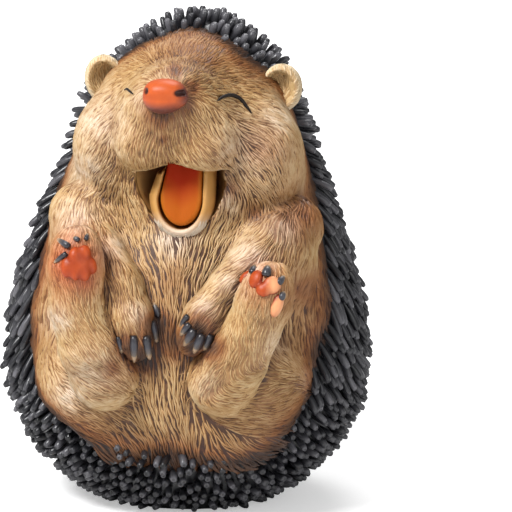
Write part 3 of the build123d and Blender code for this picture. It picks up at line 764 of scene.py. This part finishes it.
# The head, one mass with cheeks, muzzle and brow, thrown back so that the nose points up and forward.
# Its locks are fine, finest round the nose and the closed eyes, and the mouth is hollowed out deep.
head_guides = [
    (0, 151, 90, 1), (-12, 147, 123, 1), (12, 148, 60, 1), (0, 142, 90, 0.9), (-20, 140, 139, 1),
    (22, 139, 37, 1), (-7, 138, 93, 0.8), (6, 138, 56, 0.9), (-19, 135, 162, 0.7),
    (-25, 130, 198, 0.8), (-30, 121, 221, 1), (-35, 113, 237, 1), (-37, 105, 244, 1),
    (16, 134, 21, 0.7), (27, 133, 17, 0.9), (17, 128, 354, 0.8), (4, 126, 323, 0.9),
    (21, 122, 333, 1), (32, 120, 319, 1.1), (37, 112, 300, 1.1), (39, 102, 288, 1.1),
    (-12, 122, 250, 0.9), (-17, 116, 236, 0.9), (-22, 123, 221, 0.9), (-9, 117, 264, 0.9),
    (-3, 120, 291, 0.9), (3, 114, 307, 1), (11, 113, 319, 1), (-1, 110, 282, 0.9),
    (-12, 110, 258, 0.9), (-29, 107, 217, 1.1), (-32, 98, 225, 1.1), (-25, 95, 249, 1.1),
    (-20, 89, 291, 1.2), (-15, 92, 294, 1.1), (-34, 90, 253, 1), (16, 103, 311, 1.1),
    (24, 97, 323, 1.2), (32, 98, 303, 1.2), (13, 92, 264, 1.1), (19, 90, 250, 1.2),
    (-12, 88, 307, 1.1), (-3, 84, 270, 1.2), (7, 88, 233, 1.2),
]
make_fur_piece("head", head_guides, 12, pitch=0.8, length=5.0, width=0.56)

# The arms, each with its shoulder and a forearm across the belly that ends in the hand.
# Their fur runs down the arm to the fingers.
arm_guides = {
    "left_arm": [
        (34, 87, 250, 1), (34, 77, 262, 1), (37, 70, 284, 1), (21, 80, 233, 1), (17, 74, 225, 1),
        (4, 60, 225, 0.9), (42, 82, 275, 1), (28, 62, 250, 1),
    ],
    "right_arm": [
        (-34, 85, 280, 1), (-25, 77, 295, 1), (-19, 64, 290, 1), (-22, 57, 272, 0.9),
        (-15, 54, 285, 0.9), (-42, 84, 255, 1), (-46, 72, 262, 1), (-28, 66, 275, 1),
    ],
}
for seed, (name, guides) in enumerate(arm_guides.items(), 13):
    make_fur_piece(name, guides, seed, pitch=0.92, length=5.6, width=0.6)

# The legs, each with its haunch and a raised foot whose sole faces the front.
# Their fur runs down the haunch, and fine over the sole between the pads.
leg_guides = {
    "left_leg": [
        (13, 52, 212, 0.8), (16, 49, 222, 0.8), (21, 52, 275, 0.8), (25, 49, 290, 0.8),
        (22, 62, 260, 0.8), (27, 58, 270, 0.8), (9, 38, 200, 0.9), (18, 34, 18, 1), (26, 42, 35, 1),
        (29, 33, 30, 1), (13, 29, 350, 1), (24, 24, 340, 1), (36, 38, 330, 1), (37, 52, 280, 1),
    ],
    "right_leg": [
        (-37, 70, 270, 0.8), (-42, 58, 285, 0.8), (-35, 60, 280, 0.8), (-32, 54, 300, 0.8),
        (-40, 46, 320, 0.9), (-45, 50, 310, 0.9), (-28, 44, 310, 0.9), (-25, 39, 330, 0.9),
        (-38, 36, 340, 1), (-30, 31, 325, 1), (-47, 40, 300, 1), (-46, 62, 270, 0.9),
    ],
}
for seed, (name, guides) in enumerate(leg_guides.items(), 15):
    make_fur_piece(name, guides, seed, pitch=0.9, length=5.0, width=0.6)

# The lining of the open mouth, smooth ochre paint on its walls that turns dark red-brown under the palate,
# partly its paint and partly painted shade, and is darker deeper in, as painted shade.
# It lines the hollow of the head from the lips inward.
lining_thickness, lining_inset = 1.6, 1.4
# How far it stands off the hollow, from what depth inward it comes closer, and over what depth.
lining_gap, gap_depth, gap_fade = 0.6, 2, 3
palate_height, palate_blend, palate_front, palate_fade = 0.725 * body_height, 6, -52, 8
shade_start, shade_fade = 1, 11
lining_ochre, lining_dark, lining_red = (0.85, 0.52, 0.20), (0.14, 0.05, 0.014), (0.075, 0.008, 0.003)
paint = new_paint("mouth_lining_paint", 0.42)
red_and_palate_shade, shade, _, _ = paint.marks()
tone = paint.mix(red_and_palate_shade, paint.mix(shade, lining_ochre, lining_dark), lining_red)
cloud = paint.work("MULTIPLY", paint.grain(160.0), 0.5)
paint.cover(paint.mix(cloud, tone, (0.70, 0.55, 0.35), "MULTIPLY"), 700.0, 0.0001)


def lining_form(points):
    """A thin shell round the hollow of the mouth, a little inside the lips."""
    hollow = mouth_form(points)
    uncut = masses(points, whole=True)[0]
    inner = lining_gap * np.clip(1 + (uncut + gap_depth) / gap_fade, 0, 1) - hollow
    return np.maximum(np.maximum(inner, hollow - lining_thickness), uncut + lining_inset)


mouth_middle = np.array(mouth_place) * body_shares
reach = np.array(mouth_size) / 2 + 6
points, faces, _ = cast(lining_form, mouth_middle - reach, mouth_middle + reach, 0.7)
# Dark red-brown under the palate, partly the paint and partly painted shade.
red_and_palate_shade = np.clip((points[:, 2] - palate_height) / palate_blend + 0.5, 0, 1)
red_and_palate_shade = red_and_palate_shade * np.clip((points[:, 1] - palate_front) / palate_fade, 0, 1)
shade = np.clip((points[:, 1] - mouth_middle[1] + shade_start) / shade_fade, 0, 1)
make_piece("mouth_lining", points, faces, paint, "fur_paint", ["head"], red_and_palate_shade, shade)

# The lower jaw, a trough dropped open under the mouth with a smooth cream rim.
# Its floor is painted darker deeper in the trough, as painted shade under the tongue, and short white-brushed
# locks grow under the rim.
jaw_place, jaw_size = (0.084, 0.731, 0.673), np.array((21.5, 19.0, 27.0))
jaw_tilt = math.radians(-14)
jaw_rim, jaw_floor, jaw_blend = 3.5, 4.5, 2.2
# Above its middle the right side narrows, as a share a millimetre, up to this height.
jaw_narrowing, jaw_narrowing_height = 0.03, 12
jaw_middle = np.array(jaw_place) * body_shares
# On the right the rim drops: how far, from what place outward, and over what width.
jaw_top, jaw_drop, jaw_drop_place, jaw_drop_width = 0.755 * body_height, 5.5, 3.5, 3
jaw_shade_depth, jaw_shade_fade, jaw_fur_depth = 1.3, 2.6, 6
jaw_light_depth, jaw_light_fade = 12, 8
jaw_guides = np.array([(-5, 95, 265, 1.0), (0, 90, 270, 1.0), (6, 95, 280, 1.0)], float)
jaw_shade_tones = [
    (0.0, (0.68, 0.55, 0.43)),
    (0.2, (0.52, 0.30, 0.12)),
    (0.5, (0.17, 0.06, 0.015)),
    (1.0, (0.04, 0.012, 0.004)),
]
paint = new_paint("cream_jaw_paint", 0.4)
ridge, height, hollow_shade, _ = paint.marks()
cream = paint.mix(height, paint.ramp(hollow_shade, jaw_shade_tones), (0.72, 0.46, 0.17), "MULTIPLY")
brushed = paint.mix(ridge, (0.16, 0.075, 0.030), (0.80, 0.70, 0.56))
cream = paint.mix(paint.work("GREATER_THAN", ridge, 0.001), cream, brushed)
paint.cover(cream, 600.0, 0.00008, sheen=0.3)


def tilted(points, middle):
    """Places across, along and up from a middle, in the tilt of the jaw."""
    spot = points - middle
    along = spot[..., 1] * math.cos(jaw_tilt) + spot[..., 2] * math.sin(jaw_tilt)
    up = spot[..., 2] * math.cos(jaw_tilt) - spot[..., 1] * math.sin(jaw_tilt)
    return spot[..., 0], along, up


def tilted_oval(points, middle, size):
    """How far points lie outside a form in the jaw's tilt, oval below its middle and drawn out above it."""
    across, along, up = tilted(points, middle)
    narrowed = 1 - jaw_narrowing * np.clip(up, 0, jaw_narrowing_height) * (across < 0)
    return oval(np.stack([across / narrowed, along, np.minimum(up, 0)], axis=-1), 0, size)


def jaw_form(points):
    """The trough of the lower jaw."""
    outside = tilted_oval(points, jaw_middle, jaw_size)
    trough = tilted_oval(points, jaw_middle + (0, -jaw_floor, 0), jaw_size - (2 * jaw_rim, 0, 2 * jaw_rim))
    drop = np.clip((jaw_middle[0] - points[..., 0] - jaw_drop_place) / jaw_drop_width, 0, 1)
    return np.maximum(-soft_union(-outside, trough, jaw_blend), points[..., 2] - (jaw_top - jaw_drop * drop))


rng = np.random.default_rng(21)
points, faces, outward = cast(jaw_form, jaw_middle - 16, jaw_middle + 16, 0.6)
hollow_shade = np.clip((-tilted_oval(points, jaw_middle, jaw_size) - jaw_shade_depth) / jaw_shade_fade, 0, 1)
height = np.clip((points[:, 2] - jaw_middle[2] + jaw_light_depth) / jaw_light_fade, 0, 1)
under = (outward[:, 2] < 0.1) & (outward[:, 1] < 0.2) & (points[:, 2] < jaw_middle[2] - jaw_fur_depth)
roots = scatter(points, faces[under[faces].all(axis=1)], 0.95, rng)
lock_points, lock_faces, ridge = lay_locks(jaw_form, roots, jaw_guides, 4.6, 0.75, rng)
marks = (
    np.pad(0.05 + 0.95 * ridge, (len(points), 0)),
    np.pad(height, (0, len(lock_points))),
    np.pad(hollow_shade, (0, len(lock_points))),
    0.0,
)
points, faces = join([(points, faces), (lock_points, lock_faces)])
make_piece("lower_jaw_trough", points, faces, paint, "rim_paint", ["lower_jaw"], *marks)

# The tongue, dull orange paint, deeper red to its root, partly its paint and partly painted shade under the
# palate, and paler at its edge, with a furrow down its middle.
# It lies on the floor of the jaw, flat on top.
tongue_size = np.array((13.6, 10.0, 19.4))
tongue_middle = jaw_middle + (0.2, jaw_size[1] / 2 - jaw_floor - tongue_size[1] / 2 - 0.3, 0)
tongue_stretch, tongue_blend = (1, 20, 1), 1.6
furrow_depth, furrow_width = 0.4, 1.6
paint = new_paint("orange_tongue_paint", 0.6)
red_and_palate_shade, edge, _, _ = paint.marks()
orange = paint.mix(red_and_palate_shade, (0.35, 0.074, 0.003), (0.33, 0.020, 0.002))
paint.cover(paint.mix(edge, orange, (0.42, 0.14, 0.014)), 500.0, 0.0001, sheen=0.12)


def tongue_form(points):
    """The tongue, flat on top with a furrow."""
    across, along, _ = tilted(points, tongue_middle)
    furrow = furrow_depth * np.exp(-((across / furrow_width) ** 2))
    outline = tilted_oval(points, tongue_middle, tongue_size * tongue_stretch)
    blade = -soft_union(-outline, along + tongue_size[1] / 2 - furrow, tongue_blend)
    return np.maximum(np.maximum(blade, along - tongue_size[1] / 2), points[..., 2] - jaw_top)


points, faces, _ = cast(tongue_form, tongue_middle - 12, tongue_middle + 12, 0.5)
up_share = (points[:, 2] - tongue_middle[2]) / tongue_size[2] * 2
off_middle = np.abs(points[:, 0] - tongue_middle[0]) / tongue_size[0] * 2
red_and_palate_shade = np.clip(0.45 + 1.1 * up_share - 0.5 * off_middle, 0, 1)
edge = np.clip(3.0 * np.hypot(np.minimum(up_share, 0), off_middle) - 2.2, 0, 0.8)
make_piece("tongue_blade", points, faces, paint, "tongue_paint", ["tongue"], red_and_palate_shade, edge)

# The nose, an orange ball of four swells run together, with a slit nostril on each side.
# It sits on the end of the muzzle in satin paint, with painted shade below and at its left end.
nose_middle = np.array((0.036, 1.096, 0.898)) * body_shares
nose_ovals = (
    ((0.3, 0.0, -0.8), (14.4, 10.6, 8.2)),
    ((-0.8, -0.4, -2.2), (9.6, 9.6, 6.6)),
    ((-1.8, -0.3, 2.0), (8.8, 9.6, 6.2)),
    ((2.0, -0.2, 1.9), (8.8, 9.2, 6.0)),
)
nostril_ends = (((-5.6, -3.6, 2.0), (-8.4, -1.0, 2.4)), ((4.2, -6.0, 1.7), (6.6, -1.4, 1.3)))
nostril_radius, nostril_blend, nose_blend = 0.9, 0.6, 2.4
# Where the painted shade starts and over what width it grows, below the middle and to the left of it.
shade_below, shade_below_fade, shade_left, shade_left_fade = 1.0, 3.0, 4.0, 3.5
paint = new_paint("orange_nose_paint", 0.42)
_, shade, hollow_shade, _ = paint.marks()
orange = paint.mix(paint.grain(350.0), (0.50, 0.096, 0.018), (0.41, 0.060, 0.010))
orange = paint.mix(shade, orange, (0.070, 0.024, 0.022))
paint.cover(paint.mix(hollow_shade, orange, (0.045, 0.010, 0.006)), 420.0, 0.00015, sheen=0.3)


def nose_form(points):
    """The nose with its nostrils."""
    form = None
    for place, size in nose_ovals:
        swell = oval(points, nose_middle + place, size)
        form = swell if form is None else soft_union(form, swell, nose_blend)
    for start, end in np.array(nostril_ends):
        slit = off_run(points - nose_middle, start, end)[0] - nostril_radius
        form = -soft_union(-form, slit, nostril_blend)
    return form


points, faces, outward = cast(nose_form, nose_middle - 10, nose_middle + 10, 0.4)
# Painted shade in the nostril slits and the creases between the swells.
hollow_shade = np.clip(2.2 * hollow_shade_share(nose_form, points, outward) - 0.3, 0, 1)
spot = points - nose_middle
below, left = (-shade_below - spot[:, 2]) / shade_below_fade, (spot[:, 0] - shade_left) / shade_left_fade
shade = 0.9 * np.clip(np.maximum(below, left), 0, 1)
make_piece("nose_ball", points, faces, paint, "nose_paint", ["nose"], shade, shade, hollow_shade, shade)

# The closed eyes, thin dark lines painted in the creases of the lids.
# They are given as the photographer sees them, in millimetres right and up, with the radius of the line.
eye_lines = {
    "left_eye_line": (
        (
            (9.6, 129.2), (11.0, 130.2), (13.4, 130.9), (15.6, 130.5),
            (17.6, 129.2), (19.2, 127.2), (20.9, 125.0),
        ),
        0.68,
    ),
    "right_eye_line": (((-19.8, 132.6), (-18.9, 133.0), (-17.8, 132.1), (-16.9, 131.5)), 0.38),
}
line_steps, line_lift, line_ends = 28, 0.85, 0.12
tube_sides = 8
photo_middle = np.array((0, 0, 80.0))
camera_distance = 1800.0
camera_place = photo_middle + view_back * camera_distance


def on_skin(form, spots):
    """The places of a skin that show at spots of the photographer's view."""
    spots = np.array(spots, float)
    middle = seen(photo_middle)
    targets = photo_middle + (spots[:, :1] - middle[0]) * view_right + (spots[:, 1:2] - middle[1]) * view_up
    rays = targets - camera_place
    rays /= np.linalg.norm(rays, axis=-1, keepdims=True)
    places = targets - rays * 110
    for _ in range(80):
        places = places + rays * form(places)[:, None] * 0.8
    return places


def smooth_line(route, count):
    """A route of points drawn through more points on a smooth curve."""
    route = np.array(route, float)
    padded = np.concatenate([2 * route[:1] - route[1:2], route, 2 * route[-1:] - route[-2:-1]])
    steps = np.linspace(0, len(route) - 1, count)
    first = np.minimum(steps.astype(int), len(route) - 2)
    share = (steps - first)[:, None]
    before, start, end, after = [padded[first + shift] for shift in range(4)]
    bend = 2 * before - 5 * start + 4 * end - after
    swing = 3 * start - before - 3 * end + after
    return (2 * start + (end - before) * share + bend * share**2 + swing * share**3) / 2


def sweep(route, radii):
    """A closed tube along a route, as corner points and faces."""
    ahead = np.gradient(route, axis=0)
    ahead /= np.linalg.norm(ahead, axis=-1, keepdims=True)
    side = np.cross(ahead, (0.31, -0.87, 0.38))
    side /= np.maximum(np.linalg.norm(side, axis=-1, keepdims=True), 1e-6)
    over = np.cross(side, ahead)
    turns = np.arange(tube_sides) * 2 * math.pi / tube_sides
    spread = side[:, None] * np.cos(turns)[:, None] + over[:, None] * np.sin(turns)[:, None]
    points = (route[:, None] + spread * np.array(radii)[:, None, None]).reshape(-1, 3)
    end = (len(route) - 1) * tube_sides
    return points, np.concatenate([walls(1, len(route), tube_sides), spine_cap[:, ::-1], end + spine_cap])


paint = new_paint("dark_line_paint", 0.45)
dark = paint.mix(paint.grain(800.0), (0.016, 0.010, 0.007), (0.006, 0.004, 0.004))
paint.cover(dark, 900.0, 0.00005, sheen=0.2)
for name, (spots, radius) in eye_lines.items():
    route = smooth_line(on_skin(front_form, spots), line_steps)
    route = route + settle(front_form, route, 1)[1] * line_lift
    taper = np.sin(np.linspace(line_ends, math.pi - line_ends, line_steps)) ** 0.5
    make_piece(name, *sweep(route, radius * taper), paint, "fur_paint", ["head"])

# The ears, small cups on the sides of the head, with a pale rim and fine ochre hair inside.
# Each is open to the front and a little outward.
ear_size, ear_rim, ear_blend, ear_turn = np.array((12.6, 8.5, 14.8)), 1.1, 0.9, math.radians(18)
ear_places = {"left_ear": ((0.605, 0.290, 0.872), 1), "right_ear": ((-0.445, 0.290, 0.882), -1)}
# The hair fans out from a place below the middle of the ear: how far below, and how far out its guides stand.
fan_drop, fan_radius, fan_headings = 4.5, 6, np.arange(-30, 240, 30)
ochre_tones = [(0.15, (0.13, 0.055, 0.012)), (0.55, (0.42, 0.235, 0.07)), (1.0, (0.62, 0.42, 0.18))]
pale_tones = [(0.15, (0.26, 0.14, 0.055)), (0.5, (0.54, 0.37, 0.19)), (1.0, (0.70, 0.57, 0.38))]
paint = new_paint("ochre_ear_paint", 0.5)
ridge, inside, hollow_shade, _ = paint.marks()
lifted = paint.work("ADD", ridge, paint.work("MULTIPLY", paint.grain(500.0), 0.3))
ochre = paint.mix(hollow_shade, paint.ramp(lifted, ochre_tones), (0.16, 0.055, 0.012))
paint.cover(paint.mix(inside, paint.ramp(lifted, pale_tones), ochre), 900.0, 0.00008)

for seed, (name, (place, side)) in enumerate(ear_places.items(), 31):
    rng = np.random.default_rng(seed)
    middle = np.array(place) * body_shares
    turn = side * ear_turn
    turned = np.array(((math.cos(turn), math.sin(turn), 0), (-math.sin(turn), math.cos(turn), 0), (0, 0, 1)))

    def bowl_form(points):
        """The hollow of the ear."""
        size = (ear_size[0] - 2 * ear_rim, 2 * (ear_size[1] - ear_rim), ear_size[2] - 2 * ear_rim)
        return oval((points - middle + (0, ear_size[1] / 2, 0)) @ turned.T, 0, size)

    def ear_form(points):
        """The cup of the ear."""
        return -soft_union(-oval((points - middle) @ turned.T, 0, ear_size), bowl_form(points), ear_blend)

    points, faces, outward = cast(ear_form, middle - 10, middle + 10, 0.45)
    roots = scatter(points, faces, 0.75, rng)
    headings = np.radians(fan_headings)
    fan = fan_radius * np.stack([np.cos(headings), np.sin(headings)], axis=-1)
    base = seen(middle - (0, 0, fan_drop))
    guides = np.column_stack([base + fan, fan_headings, np.ones(len(fan_headings))])
    lock_points, lock_faces, ridge = lay_locks(ear_form, roots, guides, 3.2, 0.48, rng, reach=2.5, lift=0.75)
    lock_outward = per_lock(settle(ear_form, roots, 1)[1])
    ridge = np.concatenate([np.full(len(points), 0.25), 0.2 + 0.7 * ridge])
    all_points, all_faces = join([(points, faces), (lock_points, lock_faces)])
    inside = np.clip(0.5 - bowl_form(all_points), 0, 1)
    inside[: len(points)] *= outward[:, 1] < 0.5
    # Painted shade darkens the hollow of the cup and the roots of its hair.
    hollow_shade = 0.8 * hollow_shade_share(ear_form, all_points, np.concatenate([outward, lock_outward]))
    make_piece(f"{name}_cup", all_points, all_faces, paint, "fur_paint", [name], ridge, inside, hollow_shade, 0.0)

# The orange pads of the raised soles, four toes or more and the ball of each foot, run together a little.
# Each is given as the photographer sees it: right, up, width, height and turn, in millimetres and degrees.
foot_pads = {
    "right_foot_pads": (
        (-37.0, 78.9, 3.8, 5.2, -14), (-33.6, 79.4, 4.0, 5.2, 10), (-31.4, 75.2, 3.5, 5.4, 14),
        (-39.7, 74.6, 3.8, 6.4, 2), (-35.5, 75.2, 6.4, 5.2, 0), (-36.9, 72.4, 3.3, 4.0, 8),
        (-33.6, 72.2, 3.4, 4.1, -8),
    ),
    "left_foot_pads": (
        (19.6, 71.4, 3.2, 5.4, -10), (22.7, 70.6, 4.8, 6.0, -14), (28.0, 68.6, 5.8, 5.8, -28),
        (29.6, 62.0, 4.0, 8.0, -14), (25.2, 67.2, 5.0, 4.6, -20),
    ),
}
pad_depth, pad_blends = 3.2, {"right_foot_pads": 1.4, "left_foot_pads": 0.6}
# Right of this place the pads were brushed with peach.
peach_place, peach_fade, peach_most = 24.5, 3, 0.85
paint = new_paint("orange_pad_paint", 0.42)
_, peach, hollow_shade, _ = paint.marks()
orange = paint.mix(paint.grain(420.0), (0.46, 0.080, 0.012), (0.30, 0.032, 0.005))
orange = paint.mix(hollow_shade, paint.mix(peach, orange, (0.76, 0.36, 0.17)), (0.20, 0.020, 0.004))
paint.cover(orange, 500.0, 0.0002, 0.7, sheen=0.3)

for name, pads in foot_pads.items():
    pads = np.array(pads)
    blend = pad_blends[name]
    places, outward = settle(front_form, on_skin(front_form, pads[:, :2]))

    def pads_form(points):
        """The pads of one sole, run together a little."""
        form = None
        for place, up, (_, _, width, height, turn) in zip(places, outward, pads):
            along = math.cos(math.radians(turn)) * view_up - math.sin(math.radians(turn)) * view_right
            along = along - up * (along @ up)
            along = along / np.linalg.norm(along)
            axes = np.stack([np.cross(along, up), along, up])
            pad = oval((points - place) @ axes.T, 0, (width, height, pad_depth))
            form = pad if form is None else soft_union(form, pad, blend)
        return form

    points, faces, out = cast(pads_form, places.min(0) - 5, places.max(0) + 5, 0.35)
    # Painted shade darkens the creases between the pads.
    hollow_shade = np.clip(1.6 * hollow_shade_share(pads_form, points, out), 0, 1)
    peach = np.clip((seen(points)[:, 0] - peach_place) / peach_fade, 0, peach_most)
    make_piece(f"{name}_cast", points, faces, paint, "nose_paint", [name], hollow_shade, peach, hollow_shade)

# The claws, dark slate paint with horn-coloured tips, five to a hand and four to a foot.
# Each is given in millimetres as the photographer sees it: its root and tip, right and up, and its radius.
claws = {
    "right_hand_claws": (
        ((-22.9, 51.8), (-21.6, 46.4), 0.9), ((-17.6, 52.2), (-17.4, 43.6), 1.4),
        ((-13.6, 52.0), (-12.3, 44.4), 1.45), ((-11.6, 57.0), (-10.0, 50.0), 1.4),
        ((-9.4, 58.2), (-11.0, 63.0), 1.1),
    ),
    "left_hand_claws": (
        ((0.4, 58.8), (-2.4, 55.0), 1.1), ((1.0, 56.0), (-2.2, 52.2), 1.3),
        ((2.4, 54.2), (-1.0, 48.8), 1.4), ((5.0, 52.6), (2.2, 46.4), 1.45),
        ((7.8, 52.4), (5.6, 47.2), 1.3),
    ),
    "right_foot_claws": (
        ((-38.6, 81.4), (-42.6, 84.0), 1.1), ((-35.6, 83.6), (-37.4, 84.6), 0.9),
        ((-39.6, 79.4), (-43.8, 76.2), 0.9), ((-33.4, 83.6), (-32.6, 85.8), 0.8),
    ),
    "left_foot_claws": (
        ((21.4, 72.4), (22.2, 75.2), 1.3), ((26.0, 71.6), (26.6, 75.0), 1.6),
        ((29.8, 69.0), (32.0, 71.6), 1.2), ((30.8, 64.0), (32.0, 66.4), 1.2),
    ),
}
# A claw follows the skin in steps, falls back from the camera no further than its drop, and bulges between.
claw_steps, claw_drop, claw_lift, claw_bulge = 9, 3.0, 0.35, 1.2
claw_tones = [
    (0.2, (0.012, 0.010, 0.012)),
    (0.65, (0.038, 0.038, 0.048)),
    (0.9, (0.10, 0.080, 0.066)),
    (1.0, (0.30, 0.20, 0.12)),
]
paint = new_paint("slate_claw_paint", 0.32)
along, _, _, _ = paint.marks()
smudge = paint.work("MULTIPLY", paint.grain(500.0), 0.35)
paint.cover(paint.ramp(paint.work("ADD", along, smudge), claw_tones), 600.0, 0.0001)

line = np.linspace(0, 1, claw_steps)
taper = np.sqrt(np.clip(1 - (line * 0.97) ** 2.4, 0.02, 1)) * np.clip(0.7 + line * 2, 0, 1)
for name, shapes in claws.items():
    tubes = []
    for root, tip, radius in shapes:
        route = on_skin(front_form, root + (np.array(tip) - root) * line[:, None])
        height = route @ view_back
        route = route + np.maximum(height[0] - claw_drop * line - height, 0)[:, None] * view_back
        bulge = claw_lift + claw_bulge * line * (1 - line)
        tubes.append(sweep(route + view_back * radius * bulge[:, None], radius * taper))
    along = np.tile(np.repeat(line, tube_sides), len(shapes))
    make_piece(f"{name}_cast", *join(tubes), paint, "claw_paint", [name], along)

# The plug of the pour hole in the seat, plain dark plastic pressed in flush.
# Its solid in the frame has the right shape and stays.
paint = new_paint("dark_plug_plastic", 0.6)
paint.cover(paint.mix(paint.grain(300.0), (0.012, 0.012, 0.012), (0.030, 0.029, 0.028)), 800.0, 0.0001)
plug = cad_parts["base_plug"]
plug.data.materials.clear()
plug.data.materials.append(paint.block)

# The plain pale floor and the soft studio light round the ornament.
# The floor is a wide sheet, white to the camera and brighter away from the ornament, that keeps its shadow.
floor_half = 4
floor_glows = {"From Min": 0.25, "From Max": 1.2, "To Min": 0.42, "To Max": 1.0}
sky_light, sky_shown = 0.42, 0.58
floor_mesh = bpy.data.meshes.new("floor")
corners = [(side * floor_half, end * floor_half, 0) for side, end in ((-1, -1), (1, -1), (1, 1), (-1, 1))]
floor_mesh.from_pydata(corners, [], [(0, 1, 2, 3)])
floor = bpy.data.objects.new("floor", floor_mesh)
bpy.context.collection.objects.link(floor)
paint = new_paint("white_floor", 0.9)
away = paint.tree.nodes.new("ShaderNodeVectorMath")
away.operation = "LENGTH"
paint.feed(away, {0: paint.add("TexCoord", "Object")})
glow = paint.add("MapRange", "Result", {"Value": away.outputs["Value"], **floor_glows})
white = paint.work("MULTIPLY", paint.add("LightPath", "Is Camera Ray"), glow)
glowing = {"Base Color": (0.9, 0.9, 0.9), "Emission Color": (1, 1, 1), "Emission Strength": white}
paint.feed(paint.shader, glowing)
floor_mesh.materials.append(paint.block)

world = bpy.data.worlds.new("studio")
bpy.context.scene.world = world
sky = Shading(world, "Background")
strength = sky.work("MULTIPLY", sky.add("LightPath", "Is Camera Ray"), sky_shown)
sky.feed(sky.shader, {"Color": (1, 1, 1), "Strength": sky.work("ADD", strength, sky_light)})


def add_lamp(name, azimuth, elevation, distance, size, power):
    """A soft studio lamp that faces the ornament."""
    lamp = bpy.data.objects.new(name, bpy.data.lights.new(name, "AREA"))
    bpy.context.collection.objects.link(lamp)
    lamp.data.shape = "DISK"
    lamp.data.size = size
    lamp.data.energy = power
    turn, rise = math.radians(azimuth), math.radians(elevation)
    back = Vector((math.sin(turn) * math.cos(rise), -math.cos(turn) * math.cos(rise), math.sin(rise)))
    lamp.location = Vector((0, 0, 0.08)) + back * distance
    lamp.rotation_euler = back.to_track_quat("Z", "Y").to_euler()


add_lamp("key_lamp", -32, 46, 1.2, 0.45, 18.0)
add_lamp("fill_lamp", 40, 20, 1.4, 0.9, 4.0)
add_lamp("top_lamp", 170, 60, 1.3, 0.6, 7.0)

# The camera, a long lens a little above the ornament and to its left.
# The photograph shows the ornament left of the middle, so the camera aims a little to the ornament's left.
photo_side, photo_scale = 512, 0.3295
aim_across = (photo_side / 2 - 187) * photo_scale
camera = bpy.data.objects.new("camera", bpy.data.cameras.new("camera"))
bpy.context.collection.objects.link(camera)
bpy.context.scene.camera = camera
look_at = Vector(photo_middle + view_right * aim_across)
stand = Vector(camera_place)
camera.location = stand * millimetre
camera.rotation_euler = (stand - look_at).to_track_quat("Z", "Y").to_euler()
camera.data.sensor_width = 36.0
camera.data.lens = camera.data.sensor_width * camera_distance / (photo_side * photo_scale)
camera.data.clip_start = 0.05
camera.data.clip_end = 20.0
bpy.context.scene.view_settings.view_transform = "Standard"
